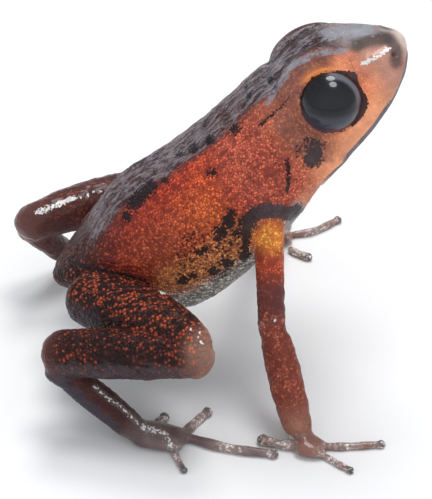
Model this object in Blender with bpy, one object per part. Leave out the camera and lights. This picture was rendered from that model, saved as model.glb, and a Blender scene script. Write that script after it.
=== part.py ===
"""Geminis' poison frog, a still life-size model in a raised, watchful stance.

Metres, +Z up. The frog faces +X and its left side is +Y. Every place and size is a share
of SVL, the length from snout to vent, so that one number scales the whole animal. Places
are measured from the floor straight under the vent, and the finished frog is then moved
so that the origin lies under the middle of its bounding box.
"""

import math

import bmesh
import bpy
import numpy as np
from mathutils import Matrix, Vector

# Driving dimensions
SVL = 0.0130  # snout to vent
GAP = 0.00025  # between two pieces that meet
EYE_GAP = 0.00015  # between an eyeball and its socket

# Head
HEAD_PITCH = math.radians(45.0)  # the mouth line rises this steeply
HEAD_YAW = math.radians(5.0)  # turned to the frog's left
HEAD_ROLL = math.radians(8.5)  # its right side is the higher one
HEAD_CENTRE = (0.630, 0.000, 0.738)  # half way between the eyes
EYE_OFFSET = 0.104  # eye centre to the middle plane
EYE_FORWARD = -0.008  # the eyes sit just behind and below the head's centre
EYE_RAISE = -0.0145
EYE_RADIUS = 0.073
BROW_RADII = (0.107, 0.092, 0.091)  # forward, across and up
BROW_BACK = 0.006
BROW_INWARD = 0.035
BROW_RAISE = 0.012
LID_RING_RADIUS = 0.083
LID_THICKNESS = 0.011
LID_OUTWARD = 0.022
LID_FACING = (0.22, 1.0, 0.25)  # forward, outward and up
EARDRUM_AT = 0.262  # share of the head's length
EARDRUM_ANGLE = math.radians(12.0)  # above the mouth line
EARDRUM_RADII = (0.021, 0.010, 0.021)
NOSTRIL_AT = 0.945
NOSTRIL_ANGLE = math.radians(4.0)
NOSTRIL_RADIUS = 0.009
LIP_ANGLE = math.radians(9.0)
LIP_RADIUS = 0.010
LIP_SINK = 0.004
MOUTH_ANGLE = math.radians(-12.0)
MOUTH_RADIUS = 0.0065
MOUTH_RISE = 0.001

# Neck cut
NECK_BACK = 0.175  # behind the eyes, along the head
NECK_PITCH = math.radians(33.0)

# Sections
BODY_SEGMENTS = 32
LIMB_SEGMENTS = 14
TOE_SEGMENTS = 8
EYE_SEGMENTS = 20
EYE_RINGS = 12

# Where the animal touches the floor
TOE_HEIGHT = 0.0135  # centre of a toe above the floor
TOE_BASE = 0.0190  # radius of a toe at its root
TOE_TIP = 0.0138  # radius behind the disc
DISC_LENGTH = 0.0195
DISC_WIDTH = 0.0172
DISC_DEPTH = 0.0145
SOLE_SIZES = ((0.030, 0.024, 0.018), (0.037, 0.045, 0.037))  # half heights, half widths
PALM_SIZES = ((0.025, 0.021, 0.017), (0.037, 0.037, 0.029))
CUTTER_SIZE = SVL * 3

# Colour and roughness of each sort of skin
HEAD_SKIN = ((0.62, 0.19, 0.06), 0.35)
TORSO_SKIN = ((0.50, 0.12, 0.04), 0.40)
EYE_SURFACE = ((0.01, 0.01, 0.015), 0.05)
THIGH_SKIN = ((0.13, 0.03, 0.015), 0.45)
SHANK_SKIN = ((0.10, 0.025, 0.015), 0.45)
TARSUS_SKIN = ((0.14, 0.06, 0.05), 0.40)
DIGIT_SKIN = ((0.20, 0.11, 0.09), 0.35)
UPPER_ARM_SKIN = ((0.45, 0.13, 0.04), 0.40)
FOREARM_SKIN = ((0.18, 0.05, 0.035), 0.40)


def unit(vectors):
    """Vectors scaled to length one."""
    vectors = np.asarray(vectors, float)
    return vectors / np.linalg.norm(vectors, axis=-1, keepdims=True)


def smooth(knots, values, at):
    """A curve through values at knots, with each slope that of its two neighbours."""
    knots = np.asarray(knots, float)
    values = np.asarray(values, float).reshape(len(knots), -1)
    slopes = np.gradient(values, axis=0) / np.gradient(knots)[:, None]
    i = np.clip(np.searchsorted(knots, at, side="right") - 1, 0, len(knots) - 2)
    span = (knots[i + 1] - knots[i])[:, None]
    t = (at - knots[i])[:, None] / span
    return (
        (2 * t**3 - 3 * t**2 + 1) * values[i]
        + (t**3 - 2 * t**2 + t) * span * slopes[i]
        + (3 * t**2 - 2 * t**3) * values[i + 1]
        + (t**3 - t**2) * span * slopes[i + 1]
    )


def stations(count):
    """Places from 0 to 1 along a form, closer together at its rounded ends."""
    return (1 - np.cos(np.linspace(0, math.pi, count))) / 2


def round_ends(at, first, last):
    """Size of a section: 1 between the ends, down to 0 at them as a quarter ellipse."""
    from_start = 1 - np.clip(at / first, 0, 1)
    from_end = 1 - np.clip((1 - at) / last, 0, 1)
    return np.sqrt(np.clip(1 - np.maximum(from_start, from_end) ** 2, 0, 1))


def section(angles, power, taper):
    """A rounded square of half size 1, its upper half narrowed by taper."""
    across = np.cos(angles)
    height = np.sin(angles)
    across = np.sign(across) * np.abs(across) ** (2 / power)
    height = np.sign(height) * np.abs(height) ** (2 / power)
    return across * (1 - taper * np.clip(height, 0, 1)), height


class Form:
    """A closed loft: a path, half sizes along it, and a section that they stretch."""

    def __init__(self, path, knots, side, half_width, half_up, half_down=None,
                 power=2.1, taper=0.0, ends=(0.1, 0.1), count=13, segments=LIMB_SEGMENTS):
        self.path = np.asarray(path, float)
        self.knots = knots if knots is not None else self.spacing()
        self.side = np.asarray(side, float).reshape(-1, 3)
        self.half_width = half_width
        self.half_up = half_up
        self.half_down = half_up if half_down is None else half_down
        self.power = power
        self.taper = taper
        self.ends = ends
        self.count = count
        self.segments = segments

    def spacing(self):
        """Knots at each path point's share of the path's length."""
        steps = np.linalg.norm(np.diff(self.path, axis=0), axis=1)
        return np.concatenate([[0.0], np.cumsum(steps)]) / steps.sum()

    def surface(self, at, angles, grow=0.0):
        """Points in metres for each place along the form and angle round it."""
        at = np.asarray(at, float)
        centre = smooth(self.knots, self.path, at) * SVL
        step = 1e-4
        tangent = unit(smooth(self.knots, self.path, np.clip(at + step, 0, 1))
                       - smooth(self.knots, self.path, np.clip(at - step, 0, 1)))
        centre = centre + tangent * grow * (2 * at[:, None] - 1)
        side_at = np.linspace(0, 1, len(self.side))
        side = np.stack([np.interp(at, side_at, self.side[:, k]) for k in range(3)], axis=1)
        side = unit(side - (side * tangent).sum(axis=1, keepdims=True) * tangent)
        upward = np.cross(tangent, side)
        size = round_ends(at, *self.ends)
        width = (smooth(self.knots, self.half_width, at)[:, 0] * SVL + grow) * size
        up = (smooth(self.knots, self.half_up, at)[:, 0] * SVL + grow) * size
        down = (smooth(self.knots, self.half_down, at)[:, 0] * SVL + grow) * size
        across, height = section(np.asarray(angles, float), self.power, self.taper)
        rise = np.where(height > 0, up[:, None] * height, down[:, None] * height)
        return (centre[:, None] + (width[:, None] * across)[..., None] * side[:, None]
                + rise[..., None] * upward[:, None])

    def solid(self, name, grow=0.0):
        """The closed mesh object of this form, grown outwards by a distance in metres."""
        at = stations(self.count)
        angles = np.arange(self.segments) * 2 * math.pi / self.segments
        rings = self.surface(at, angles, grow)
        points = np.concatenate([rings[0, :1], rings[1:-1].reshape(-1, 3), rings[-1, :1]])
        around = np.arange(self.segments)
        after = (around + 1) % self.segments
        first = 1 + around
        faces = [np.stack([np.zeros_like(first), 1 + after, first], axis=1)]
        for ring in range(self.count - 3):
            low = 1 + ring * self.segments
            high = low + self.segments
            faces.append(np.stack([low + around, low + after, high + after], axis=1))
            faces.append(np.stack([low + around, high + after, high + around], axis=1))
        last = 1 + (self.count - 3) * self.segments
        tip = np.full_like(first, len(points) - 1)
        faces.append(np.stack([last + around, last + after, tip], axis=1))
        return mesh_object(name, points, np.concatenate(faces))


def mesh_object(name, points, faces):
    """A new object from points and triangles, with its faces turned outwards."""
    mesh = bpy.data.meshes.new(name)
    mesh.from_pydata([tuple(p) for p in points], [], [tuple(int(i) for i in f) for f in faces])
    shape = bmesh.new()
    shape.from_mesh(mesh)
    bmesh.ops.recalc_face_normals(shape, faces=shape.faces)
    shape.to_mesh(mesh)
    shape.free()
    return link(bpy.data.objects.new(name, mesh))


def link(item):
    """Put an object in the scene while it is being worked on."""
    bpy.context.scene.collection.objects.link(item)
    return item


def ball(name, centre, radii, axes=None, segments=18, rings=10):
    """An ellipsoid from a sphere primitive: centre and radii in metres, axes as columns."""
    mesh = bpy.data.meshes.new(name)
    shape = bmesh.new()
    bmesh.ops.create_uvsphere(shape, u_segments=segments, v_segments=rings, radius=1.0)
    turn = Matrix(np.asarray(axes, float).tolist()) if axes is not None else Matrix.Identity(3)
    place = Matrix.Translation(Vector([float(c) for c in centre])) @ turn.to_4x4()
    place = place @ Matrix.Diagonal([float(r) for r in radii] + [1.0])
    bmesh.ops.transform(shape, matrix=place, verts=shape.verts)
    bmesh.ops.triangulate(shape, faces=shape.faces)
    bmesh.ops.recalc_face_normals(shape, faces=shape.faces)
    shape.to_mesh(mesh)
    shape.free()
    return link(bpy.data.objects.new(name, mesh))


def ring(name, centre, axis, major, minor):
    """A torus about an axis, sizes in metres."""
    bpy.ops.mesh.primitive_torus_add(major_radius=major, minor_radius=minor,
                                     major_segments=24, minor_segments=6)
    made = bpy.context.active_object
    made.name = name
    turn = Vector([float(a) for a in axis]).to_track_quat("Z", "Y").to_matrix().to_4x4()
    made.data.transform(Matrix.Translation(Vector([float(c) for c in centre])) @ turn)
    return made


def rod(name, points, radius, resolution=1):
    """A round rod along points in metres, made from a curve with a bevel."""
    curve = bpy.data.curves.new(name, "CURVE")
    curve.dimensions = "3D"
    curve.bevel_depth = radius
    curve.bevel_resolution = resolution
    curve.use_fill_caps = True
    spline = curve.splines.new("POLY")
    spline.points.add(len(points) - 1)
    for target, point in zip(spline.points, points):
        target.co = (*[float(p) for p in point], 1.0)
    guide = link(bpy.data.objects.new(name, curve))
    mesh = bpy.data.meshes.new_from_object(guide.evaluated_get(bpy.context.evaluated_depsgraph_get()))
    shape = bmesh.new()
    shape.from_mesh(mesh)
    bmesh.ops.remove_doubles(shape, verts=shape.verts, dist=radius * 1e-3)
    bmesh.ops.recalc_face_normals(shape, faces=shape.faces)
    shape.to_mesh(mesh)
    shape.free()
    made = link(bpy.data.objects.new(name, mesh))
    made.matrix_world = guide.matrix_world
    bpy.data.objects.remove(guide)
    return made


def block(name, centre, turn, size):
    """A cube of the given edge, turned by a 3 by 3 matrix whose columns are its axes."""
    bpy.ops.mesh.primitive_cube_add(size=size)
    made = bpy.context.active_object
    made.name = name
    place = Matrix.Translation(Vector([float(c) for c in centre]))
    made.data.transform(place @ Matrix(np.asarray(turn, float).tolist()).to_4x4())
    return made


def bake(item):
    """Apply an object's modifiers to its mesh."""
    evaluated = item.evaluated_get(bpy.context.evaluated_depsgraph_get())
    mesh = bpy.data.meshes.new_from_object(evaluated)
    item.modifiers.clear()
    item.data = mesh


def remove(items):
    """Delete work objects."""
    for item in list(items):
        bpy.data.objects.remove(item)


def fuse(name, pieces, solver="EXACT"):
    """Join closed pieces into one body with a single union."""
    body = pieces[0]
    body.name = name
    group = bpy.data.collections.new(name + "_pieces")
    for piece in pieces[1:]:
        group.objects.link(piece)
    union = body.modifiers.new("union", "BOOLEAN")
    union.operation = "UNION"
    union.operand_type = "COLLECTION"
    union.collection = group
    union.solver = solver
    bake(body)
    remove(group.objects)
    bpy.data.collections.remove(group)
    return body


def cut(body, cutters):
    """Take cutters away from a body, one after another, and delete them."""
    for cutter in cutters:
        take = body.modifiers.new("cut", "BOOLEAN")
        take.operation = "DIFFERENCE"
        take.object = cutter
        take.solver = "EXACT"
        bake(body)
    remove(cutters)
    return body


def keep_largest(item):
    """Drop every closed surface of a mesh but the one of the largest volume."""
    shape = bmesh.new()
    shape.from_mesh(item.data)
    bmesh.ops.dissolve_degenerate(shape, dist=SVL * 1e-5, edges=shape.edges)
    bmesh.ops.triangulate(shape, faces=shape.faces)
    unseen = set(shape.verts)
    shells = []
    while unseen:
        shell = {unseen.pop()}
        front = list(shell)
        while front:
            vertex = front.pop()
            for edge in vertex.link_edges:
                other = edge.other_vert(vertex)
                if other not in shell:
                    shell.add(other)
                    front.append(other)
        unseen -= shell
        shells.append(shell)

    def volume(shell):
        total = 0.0
        for face in {f for vertex in shell for f in vertex.link_faces}:
            a, b, c = (corner.co for corner in face.verts)
            total += a.dot(b.cross(c)) / 6
        return total

    largest = max(shells, key=volume)
    loose = [vertex for shell in shells if shell is not largest for vertex in shell]
    bmesh.ops.delete(shape, geom=loose, context="VERTS")
    shape.to_mesh(item.data)
    shape.free()


def material(name, colour, roughness):
    """A plain Principled material."""
    made = bpy.data.materials.new(name)
    made.use_nodes = True
    shader = made.node_tree.nodes["Principled BSDF"]
    shader.inputs["Base Color"].default_value = (*colour, 1.0)
    shader.inputs["Roughness"].default_value = roughness
    shader.inputs["Metallic"].default_value = 0.0
    return made


def finish(item, skin, collection):
    """Clean a node, shade it, colour it and put it in the frog's collection."""
    colour, roughness = skin
    keep_largest(item)
    item.data.shade_smooth()
    item.data.set_sharp_from_angle(angle=math.radians(50))
    item.data.materials.clear()
    item.data.materials.append(material(item.name + "_skin", colour, roughness))
    for holder in list(item.users_collection):
        holder.objects.unlink(item)
    collection.objects.link(item)


# The head's own axes: forward along the mouth line, to the frog's left, and up
HEAD_FORWARD = np.array([math.cos(HEAD_PITCH) * math.cos(HEAD_YAW),
                         math.cos(HEAD_PITCH) * math.sin(HEAD_YAW),
                         math.sin(HEAD_PITCH)])
LEVEL_LEFT = np.array([-math.sin(HEAD_YAW), math.cos(HEAD_YAW), 0.0])
HEAD_LEFT = (LEVEL_LEFT * math.cos(HEAD_ROLL)
             - np.cross(HEAD_FORWARD, LEVEL_LEFT) * math.sin(HEAD_ROLL))
HEAD_UP = np.cross(HEAD_FORWARD, HEAD_LEFT)
HEAD_AXES = np.stack([HEAD_FORWARD, HEAD_LEFT, HEAD_UP], axis=1)


def in_head(forward, left, up):
    """A place given in the head's own axes from half way between the eyes."""
    return np.asarray(HEAD_CENTRE) + HEAD_AXES @ np.array([forward, left, up])


def trunk_form():
    """The trunk: narrow at the vent, deepest at the belly, rolled towards the neck."""
    path = [(0.000, 0, 0.238), (0.094, 0, 0.287), (0.216, 0, 0.346), (0.357, 0, 0.415),
            (0.493, 0, 0.521), (0.584, 0, 0.619), (0.650, 0, 0.699)]
    roll = HEAD_ROLL * np.array([0.0, 0.55, 1.0, 1.0])
    side = np.stack([np.zeros(4), np.cos(roll), -np.sin(roll)], axis=1)
    return Form(
        path, (0.0, 0.14, 0.30, 0.50, 0.70, 0.87, 1.0), side,
        half_width=(0.076, 0.106, 0.156, 0.196, 0.191, 0.173, 0.159),
        half_up=(0.030, 0.061, 0.137, 0.152, 0.157, 0.153, 0.141),
        half_down=(0.052, 0.104, 0.212, 0.185, 0.143, 0.106, 0.077),
        power=2.2, ends=(0.14, 0.10), count=26, segments=BODY_SEGMENTS)


def head_form():
    """The head: widest at the mouth line, its top narrower, blunt at the snout."""
    forward = (-0.200, -0.131, -0.054, 0.015, 0.085, 0.148, 0.193)
    mouth = (-0.097, -0.097, -0.097, -0.097, -0.091, -0.073, -0.055)
    path = [in_head(f, 0.0, m) for f, m in zip(forward, mouth)]
    return Form(
        path, (0.0, 0.20, 0.42, 0.60, 0.78, 0.92, 1.0), HEAD_LEFT,
        half_width=(0.150, 0.166, 0.164, 0.152, 0.127, 0.098, 0.076),
        half_up=(0.170, 0.185, 0.195, 0.194, 0.184, 0.170, 0.146),
        half_down=(0.076, 0.061, 0.054, 0.052, 0.047, 0.046, 0.054),
        power=2.4, taper=0.30, ends=(0.12, 0.13), count=26, segments=BODY_SEGMENTS)


# Joints and ends of the limbs, in shares of SVL
LEGS = {
    "right": dict(
        hip=(0.049, -0.075, 0.250), knee=(0.310, -0.411, 0.277),
        shank_top=(0.323, -0.409, 0.267), heel=(-0.056, -0.257, 0.207),
        tarsus_top=(-0.040, -0.261, 0.191), ankle=(0.158, -0.358, 0.026),
        sole=((0.138, -0.350, 0.028), (0.205, -0.367, 0.021), (0.263, -0.382, 0.014)),
        shank_radii=(0.048, 0.057, 0.051), tarsus_radii=(0.039, 0.035, 0.033),
        toes=(
            ((0.184, -0.335), (0.204, -0.306), (0.217, -0.287)),
            ((0.201, -0.341), (0.219, -0.297), (0.229, -0.270)),
            ((0.251, -0.363), (0.295, -0.311), (0.336, -0.266)),
            ((0.260, -0.364), (0.360, -0.423), (0.469, -0.460)),
            ((0.226, -0.394), (0.236, -0.447), (0.246, -0.492)),
        ),
    ),
    "left": dict(
        hip=(0.119, 0.082, 0.262), knee=(0.301, 0.357, 0.266),
        shank_top=(0.314, 0.361, 0.248), heel=(-0.072, 0.265, 0.212),
        tarsus_top=(-0.046, 0.281, 0.207), ankle=(0.091, 0.373, 0.026),
        sole=((0.081, 0.376, 0.028), (0.141, 0.410, 0.021), (0.216, 0.440, 0.014)),
        shank_radii=(0.044, 0.056, 0.042), tarsus_radii=(0.035, 0.033, 0.028),
        toes=(
            ((0.135, 0.385), (0.150, 0.345), (0.158, 0.312)),
            ((0.170, 0.395), (0.202, 0.350), (0.217, 0.322)),
            ((0.185, 0.415), (0.235, 0.365), (0.272, 0.315)),
            ((0.190, 0.435), (0.300, 0.462), (0.405, 0.492)),
            ((0.155, 0.425), (0.165, 0.480), (0.180, 0.525)),
        ),
    ),
}
ARMS = {
    "right": dict(
        shoulder=(0.487, -0.142, 0.480), elbow=(0.479, -0.279, 0.197),
        forearm_top=(0.481, -0.272, 0.230), wrist=(0.525, -0.423, 0.024),
        palm=((0.521, -0.432, 0.022), (0.546, -0.451, 0.019), (0.575, -0.462, 0.014)),
        fingers=(
            ((0.520, -0.440), (0.477, -0.424), (0.427, -0.396)),
            ((0.538, -0.415), (0.541, -0.384), (0.533, -0.346)),
            ((0.562, -0.440), (0.624, -0.450), (0.719, -0.453)),
            ((0.555, -0.456), (0.591, -0.503), (0.627, -0.545)),
        ),
    ),
    "left": dict(
        shoulder=(0.492, 0.136, 0.450), elbow=(0.511, 0.286, 0.216),
        forearm_top=(0.504, 0.272, 0.244), wrist=(0.596, 0.408, 0.028),
        palm=((0.596, 0.408, 0.024), (0.612, 0.424, 0.019), (0.636, 0.436, 0.014)),
        fingers=(
            ((0.618, 0.430), (0.575, 0.455), (0.520, 0.480)),
            ((0.622, 0.378), (0.644, 0.350), (0.675, 0.325)),
            ((0.637, 0.436), (0.700, 0.446), (0.778, 0.495)),
            ((0.622, 0.442), (0.643, 0.492), (0.652, 0.545)),
        ),
    ),
}
UPWARD = (0.0, 0.0, 1.0)


def between(first, second, share):
    """The place a share of the way from one place to another."""
    return tuple((1 - share) * np.asarray(first) + share * np.asarray(second))


def thigh_form(leg, side):
    """The thigh: full at the hip, fuller behind than in front, narrowing to the knee."""
    path = (leg["hip"], between(leg["hip"], leg["knee"], 0.55), leg["knee"])
    outer, inner = (0.075, 0.072, 0.047), (0.078, 0.082, 0.038)
    if side == "left":
        outer, inner = inner, outer
    return Form(path, None, UPWARD, half_width=(0.063, 0.077, 0.050),
                half_up=outer, half_down=inner, ends=(0.12, 0.12))


def shank_form(leg):
    """The shank: fullest at its calf, folded back under the thigh."""
    path = (leg["shank_top"], between(leg["shank_top"], leg["heel"], 0.45), leg["heel"])
    return Form(path, None, UPWARD, half_width=leg["shank_radii"],
                half_up=leg["shank_radii"], ends=(0.11, 0.12))


def tarsus_form(leg):
    """The long ankle segment from the heel down to the foot."""
    path = (leg["tarsus_top"], between(leg["tarsus_top"], leg["ankle"], 0.5), leg["ankle"])
    return Form(path, None, UPWARD, half_width=leg["tarsus_radii"],
                half_up=leg["tarsus_radii"], ends=(0.12, 0.12))


def upper_arm_form(arm):
    """The upper arm, from well inside the shoulder to the elbow."""
    path = (arm["shoulder"], between(arm["shoulder"], arm["elbow"], 0.5), arm["elbow"])
    return Form(path, None, UPWARD, half_width=(0.041, 0.034, 0.031),
                half_up=(0.041, 0.034, 0.031), ends=(0.08, 0.10))


def forearm_form(arm):
    """The forearm: swollen in its lower half, narrower at the wrist."""
    path = (arm["forearm_top"], between(arm["forearm_top"], arm["wrist"], 0.55), arm["wrist"])
    return Form(path, None, UPWARD, half_width=(0.035, 0.041, 0.036),
                half_up=(0.035, 0.039, 0.034), ends=(0.12, 0.10))


def sole_form(places, heights, widths):
    """The palm or sole that lies on the floor."""
    return Form(places, None, UPWARD, half_width=heights, half_up=widths, ends=(0.14, 0.14),
                count=9, segments=12)


def toe_form(places):
    """A toe that lies along the floor and tapers to its disc."""
    path = [(x, y, TOE_HEIGHT) for x, y in places]
    middle = (TOE_BASE + TOE_TIP) / 2
    return Form(path, None, UPWARD, half_width=(TOE_BASE, middle, TOE_TIP),
                half_up=(TOE_BASE, middle, TOE_TIP), ends=(0.10, 0.10),
                count=7, segments=TOE_SEGMENTS)


def disc(name, places):
    """The flat round pad at the end of a toe."""
    before = np.array((*places[-2], 0.0))
    tip = np.array((*places[-1], 0.0))
    forward = unit(tip - before)
    axes = np.stack([forward, np.cross(UPWARD, forward), UPWARD], axis=1)
    centre = (tip - forward * DISC_LENGTH * 0.6 + np.array([0, 0, TOE_HEIGHT * 0.8])) * SVL
    radii = np.array([DISC_LENGTH, DISC_WIDTH, DISC_DEPTH]) * SVL
    return ball(name, centre, radii, axes, segments=8, rings=6)


def under_floor(name):
    """A block that fills the space below the floor."""
    return block(name, (0, 0, -CUTTER_SIZE / 2), np.identity(3), CUTTER_SIZE)


def digits_node(name, sole, places):
    """A hand or foot: its palm or sole, its toes and their discs, flat underneath."""
    pieces = [sole.solid(name)]
    for number, toe in enumerate(places):
        pieces.append(toe_form(toe).solid(f"{name}_toe_{number}"))
        pieces.append(disc(f"{name}_disc_{number}", toe))
    return fuse(name, pieces, "MANIFOLD")


def mouth_line(head, angle, inward):
    """Points along the jaw from its right corner round the snout to its left corner."""
    at = np.concatenate([np.linspace(0.30, 0.90, 8), np.linspace(0.93, 0.985, 3)])
    right = head.surface(at, [math.pi - angle], grow=-inward)[:, 0]
    left = head.surface(at, [angle], grow=-inward)[:, 0]
    return np.concatenate([right, left[::-1]])


def on_head(head, sign, at, angle):
    """A place on the side of the head, its angle measured up from the mouth line."""
    return head.surface([at], [angle if sign > 0 else math.pi - angle])[0, 0]


def body_nodes(head, trunk):
    """The head and the torso, fused as one body and parted at the neck."""
    pieces = [trunk.solid("body"), head.solid("head_loft")]
    for sign, side in ((-1, "right"), (1, "left")):
        eye = in_head(EYE_FORWARD, sign * EYE_OFFSET, EYE_RAISE) * SVL
        brow = in_head(-BROW_BACK, sign * (EYE_OFFSET - BROW_INWARD), BROW_RAISE) * SVL
        pieces.append(ball("brow_" + side, brow, np.array(BROW_RADII) * SVL, HEAD_AXES))
        outward = HEAD_AXES @ unit(np.array(LID_FACING) * (1, sign, 1))
        pieces.append(ring("lid_" + side, eye + outward * LID_OUTWARD * SVL, outward,
                           LID_RING_RADIUS * SVL, LID_THICKNESS * SVL))
        drum = on_head(head, sign, EARDRUM_AT, EARDRUM_ANGLE)
        pieces.append(ball("eardrum_" + side, drum, np.array(EARDRUM_RADII) * SVL,
                           HEAD_AXES, segments=12, rings=6))
    lip = mouth_line(head, LIP_ANGLE, LIP_SINK * SVL)
    pieces.append(rod("upper_lip", lip, LIP_RADIUS * SVL))
    body = fuse("body", pieces)

    groove = mouth_line(head, MOUTH_ANGLE, -MOUTH_RISE * SVL)
    cutters = [rod("mouth", groove, MOUTH_RADIUS * SVL)]
    for sign, side in ((-1, "right"), (1, "left")):
        eye = in_head(EYE_FORWARD, sign * EYE_OFFSET, EYE_RAISE) * SVL
        cutters.append(ball("socket_" + side, eye, [EYE_RADIUS * SVL + EYE_GAP] * 3,
                            HEAD_AXES, EYE_SEGMENTS, EYE_RINGS))
        nostril = on_head(head, sign, NOSTRIL_AT, NOSTRIL_ANGLE)
        cutters.append(ball("nostril_" + side, nostril, [NOSTRIL_RADIUS * SVL] * 3,
                            HEAD_AXES, segments=10, rings=6))
    cut(body, cutters)

    neck = in_head(-NECK_BACK, 0.0, 0.0) * SVL
    forward = np.array([math.cos(NECK_PITCH), 0.0, math.sin(NECK_PITCH)])
    upward = np.array([-math.sin(NECK_PITCH), 0.0, math.cos(NECK_PITCH)])
    turn = np.stack([forward, np.cross(upward, forward), upward], axis=1)
    reach = forward * (CUTTER_SIZE - GAP) / 2
    front = block("front", neck + reach, turn, CUTTER_SIZE)
    back = block("back", neck - reach, turn, CUTTER_SIZE)
    head_node = link(bpy.data.objects.new("head", body.data.copy()))
    torso_node = body
    torso_node.name = "torso"
    cut(head_node, [back])
    cut(torso_node, [front])
    return head_node, torso_node


def build_frog():
    """Model every node, part them, and centre the frog over the origin."""
    for item in list(bpy.data.objects):
        bpy.data.objects.remove(item)
    frog = bpy.data.collections.new("geminis_poison_frog")
    bpy.context.scene.collection.children.link(frog)
    head = head_form()
    trunk = trunk_form()
    head_node, torso_node = body_nodes(head, trunk)
    finish(head_node, HEAD_SKIN, frog)
    finish(torso_node, TORSO_SKIN, frog)
    for sign, side in ((-1, "right"), (1, "left")):
        eye = ball("eye_" + side, in_head(EYE_FORWARD, sign * EYE_OFFSET, EYE_RAISE) * SVL,
                   [EYE_RADIUS * SVL] * 3, HEAD_AXES, EYE_SEGMENTS, EYE_RINGS)
        finish(eye, EYE_SURFACE, frog)

        leg = LEGS[side]
        thigh = thigh_form(leg, side)
        shank = shank_form(leg)
        tarsus = tarsus_form(leg)
        node = cut(thigh.solid("thigh_" + side), [trunk.solid("near_trunk", GAP)])
        finish(node, THIGH_SKIN, frog)
        node = cut(shank.solid("shank_" + side),
                   [thigh.solid("near_thigh", GAP), trunk.solid("near_trunk", GAP)])
        finish(node, SHANK_SKIN, frog)
        node = cut(tarsus.solid("tarsus_" + side),
                   [shank.solid("near_shank", GAP), under_floor("floor")])
        finish(node, TARSUS_SKIN, frog)
        sole = sole_form(leg["sole"], *SOLE_SIZES)
        node = digits_node("foot_" + side, sole, leg["toes"])
        cut(node, [tarsus.solid("near_tarsus", GAP), under_floor("floor")])
        finish(node, DIGIT_SKIN, frog)

        arm = ARMS[side]
        upper_arm = upper_arm_form(arm)
        forearm = forearm_form(arm)
        node = cut(upper_arm.solid("upper_arm_" + side), [trunk.solid("near_trunk", GAP)])
        finish(node, UPPER_ARM_SKIN, frog)
        palm = sole_form(arm["palm"], *PALM_SIZES)
        near_wrist = [upper_arm.solid("near_upper_arm", GAP), palm.solid("near_palm", GAP)]
        for finger in arm["fingers"][:2]:
            near_wrist.append(toe_form(finger).solid("near_finger", GAP))
        node = cut(forearm.solid("forearm_" + side), near_wrist)
        finish(node, FOREARM_SKIN, frog)
        node = digits_node("hand_" + side, palm, arm["fingers"])
        cut(node, [under_floor("floor")])
        finish(node, DIGIT_SKIN, frog)
    centre_on_floor(frog.objects)


def centre_on_floor(items):
    """Move every mesh so that the origin is under the middle of the bounding box."""
    corners = np.array([tuple(vertex.co) for item in items for vertex in item.data.vertices])
    middle = (corners.min(axis=0) + corners.max(axis=0)) / 2
    shift = Matrix.Translation(Vector((-middle[0], -middle[1], -corners[:, 2].min())))
    for item in items:
        item.data.transform(shift)


build_frog()
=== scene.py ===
# %% [markdown]
# # A geminis' poison frog, thirteen millimetres long
#
# This lesson dresses a plain solid model of a tiny frog with one continuous, wet, grainy
# skin and a pair of glossy eyes. The plain model comes first, as a fixed frame: it says
# where every limb is, and this script never moves it. Places and sizes are shares of SVL,
# the length from snout to vent, so the numbers can be read as parts of the body's length.

# %% Load the plain model
import math

import bpy
import numpy as np
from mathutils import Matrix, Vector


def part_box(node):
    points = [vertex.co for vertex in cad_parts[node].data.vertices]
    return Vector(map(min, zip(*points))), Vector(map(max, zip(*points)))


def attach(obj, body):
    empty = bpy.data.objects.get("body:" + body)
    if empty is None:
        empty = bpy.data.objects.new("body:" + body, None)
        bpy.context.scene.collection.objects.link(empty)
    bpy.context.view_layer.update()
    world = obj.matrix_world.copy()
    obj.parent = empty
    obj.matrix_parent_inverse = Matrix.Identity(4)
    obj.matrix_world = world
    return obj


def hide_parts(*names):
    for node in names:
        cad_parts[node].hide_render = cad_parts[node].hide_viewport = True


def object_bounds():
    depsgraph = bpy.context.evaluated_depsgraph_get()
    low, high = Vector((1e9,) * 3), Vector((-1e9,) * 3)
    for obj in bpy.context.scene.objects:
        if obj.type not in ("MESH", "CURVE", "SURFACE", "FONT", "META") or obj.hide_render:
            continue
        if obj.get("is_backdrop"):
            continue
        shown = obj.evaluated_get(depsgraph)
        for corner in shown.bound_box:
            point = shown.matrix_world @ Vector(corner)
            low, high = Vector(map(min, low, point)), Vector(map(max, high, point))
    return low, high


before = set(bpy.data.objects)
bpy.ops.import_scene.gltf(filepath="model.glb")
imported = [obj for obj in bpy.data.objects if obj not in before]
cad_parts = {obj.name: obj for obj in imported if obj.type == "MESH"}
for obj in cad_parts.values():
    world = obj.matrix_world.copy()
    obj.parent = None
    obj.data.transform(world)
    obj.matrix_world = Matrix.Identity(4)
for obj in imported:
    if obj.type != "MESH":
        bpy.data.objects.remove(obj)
CAD_BOX = [list(corner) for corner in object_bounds()]
print("plain model, lowest and highest corner in mm:", np.round(np.array(CAD_BOX) * 1000, 2))

# %% [markdown]
# ## The head's own axes
#
# The frog looks up. Its mouth line rises at 45 degrees, and the head is turned a little to
# its left and rolled a little, so it gets its own three axes. A place on the head is then
# three small numbers: forward along the mouth line, to the frog's left, and up from half
# way between the eyes.

# %% Head axes and the shift from the vent to the frame
SVL = 0.0130
HEAD_PITCH = math.radians(45.0)
HEAD_YAW = math.radians(5.0)
HEAD_ROLL = math.radians(8.5)
HEAD_CENTRE = np.array([0.630, 0.000, 0.738])
EYE_OFFSET = 0.104
EYE_FORWARD = -0.008
EYE_RAISE = -0.0145
EYE_RADIUS = 0.073

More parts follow.
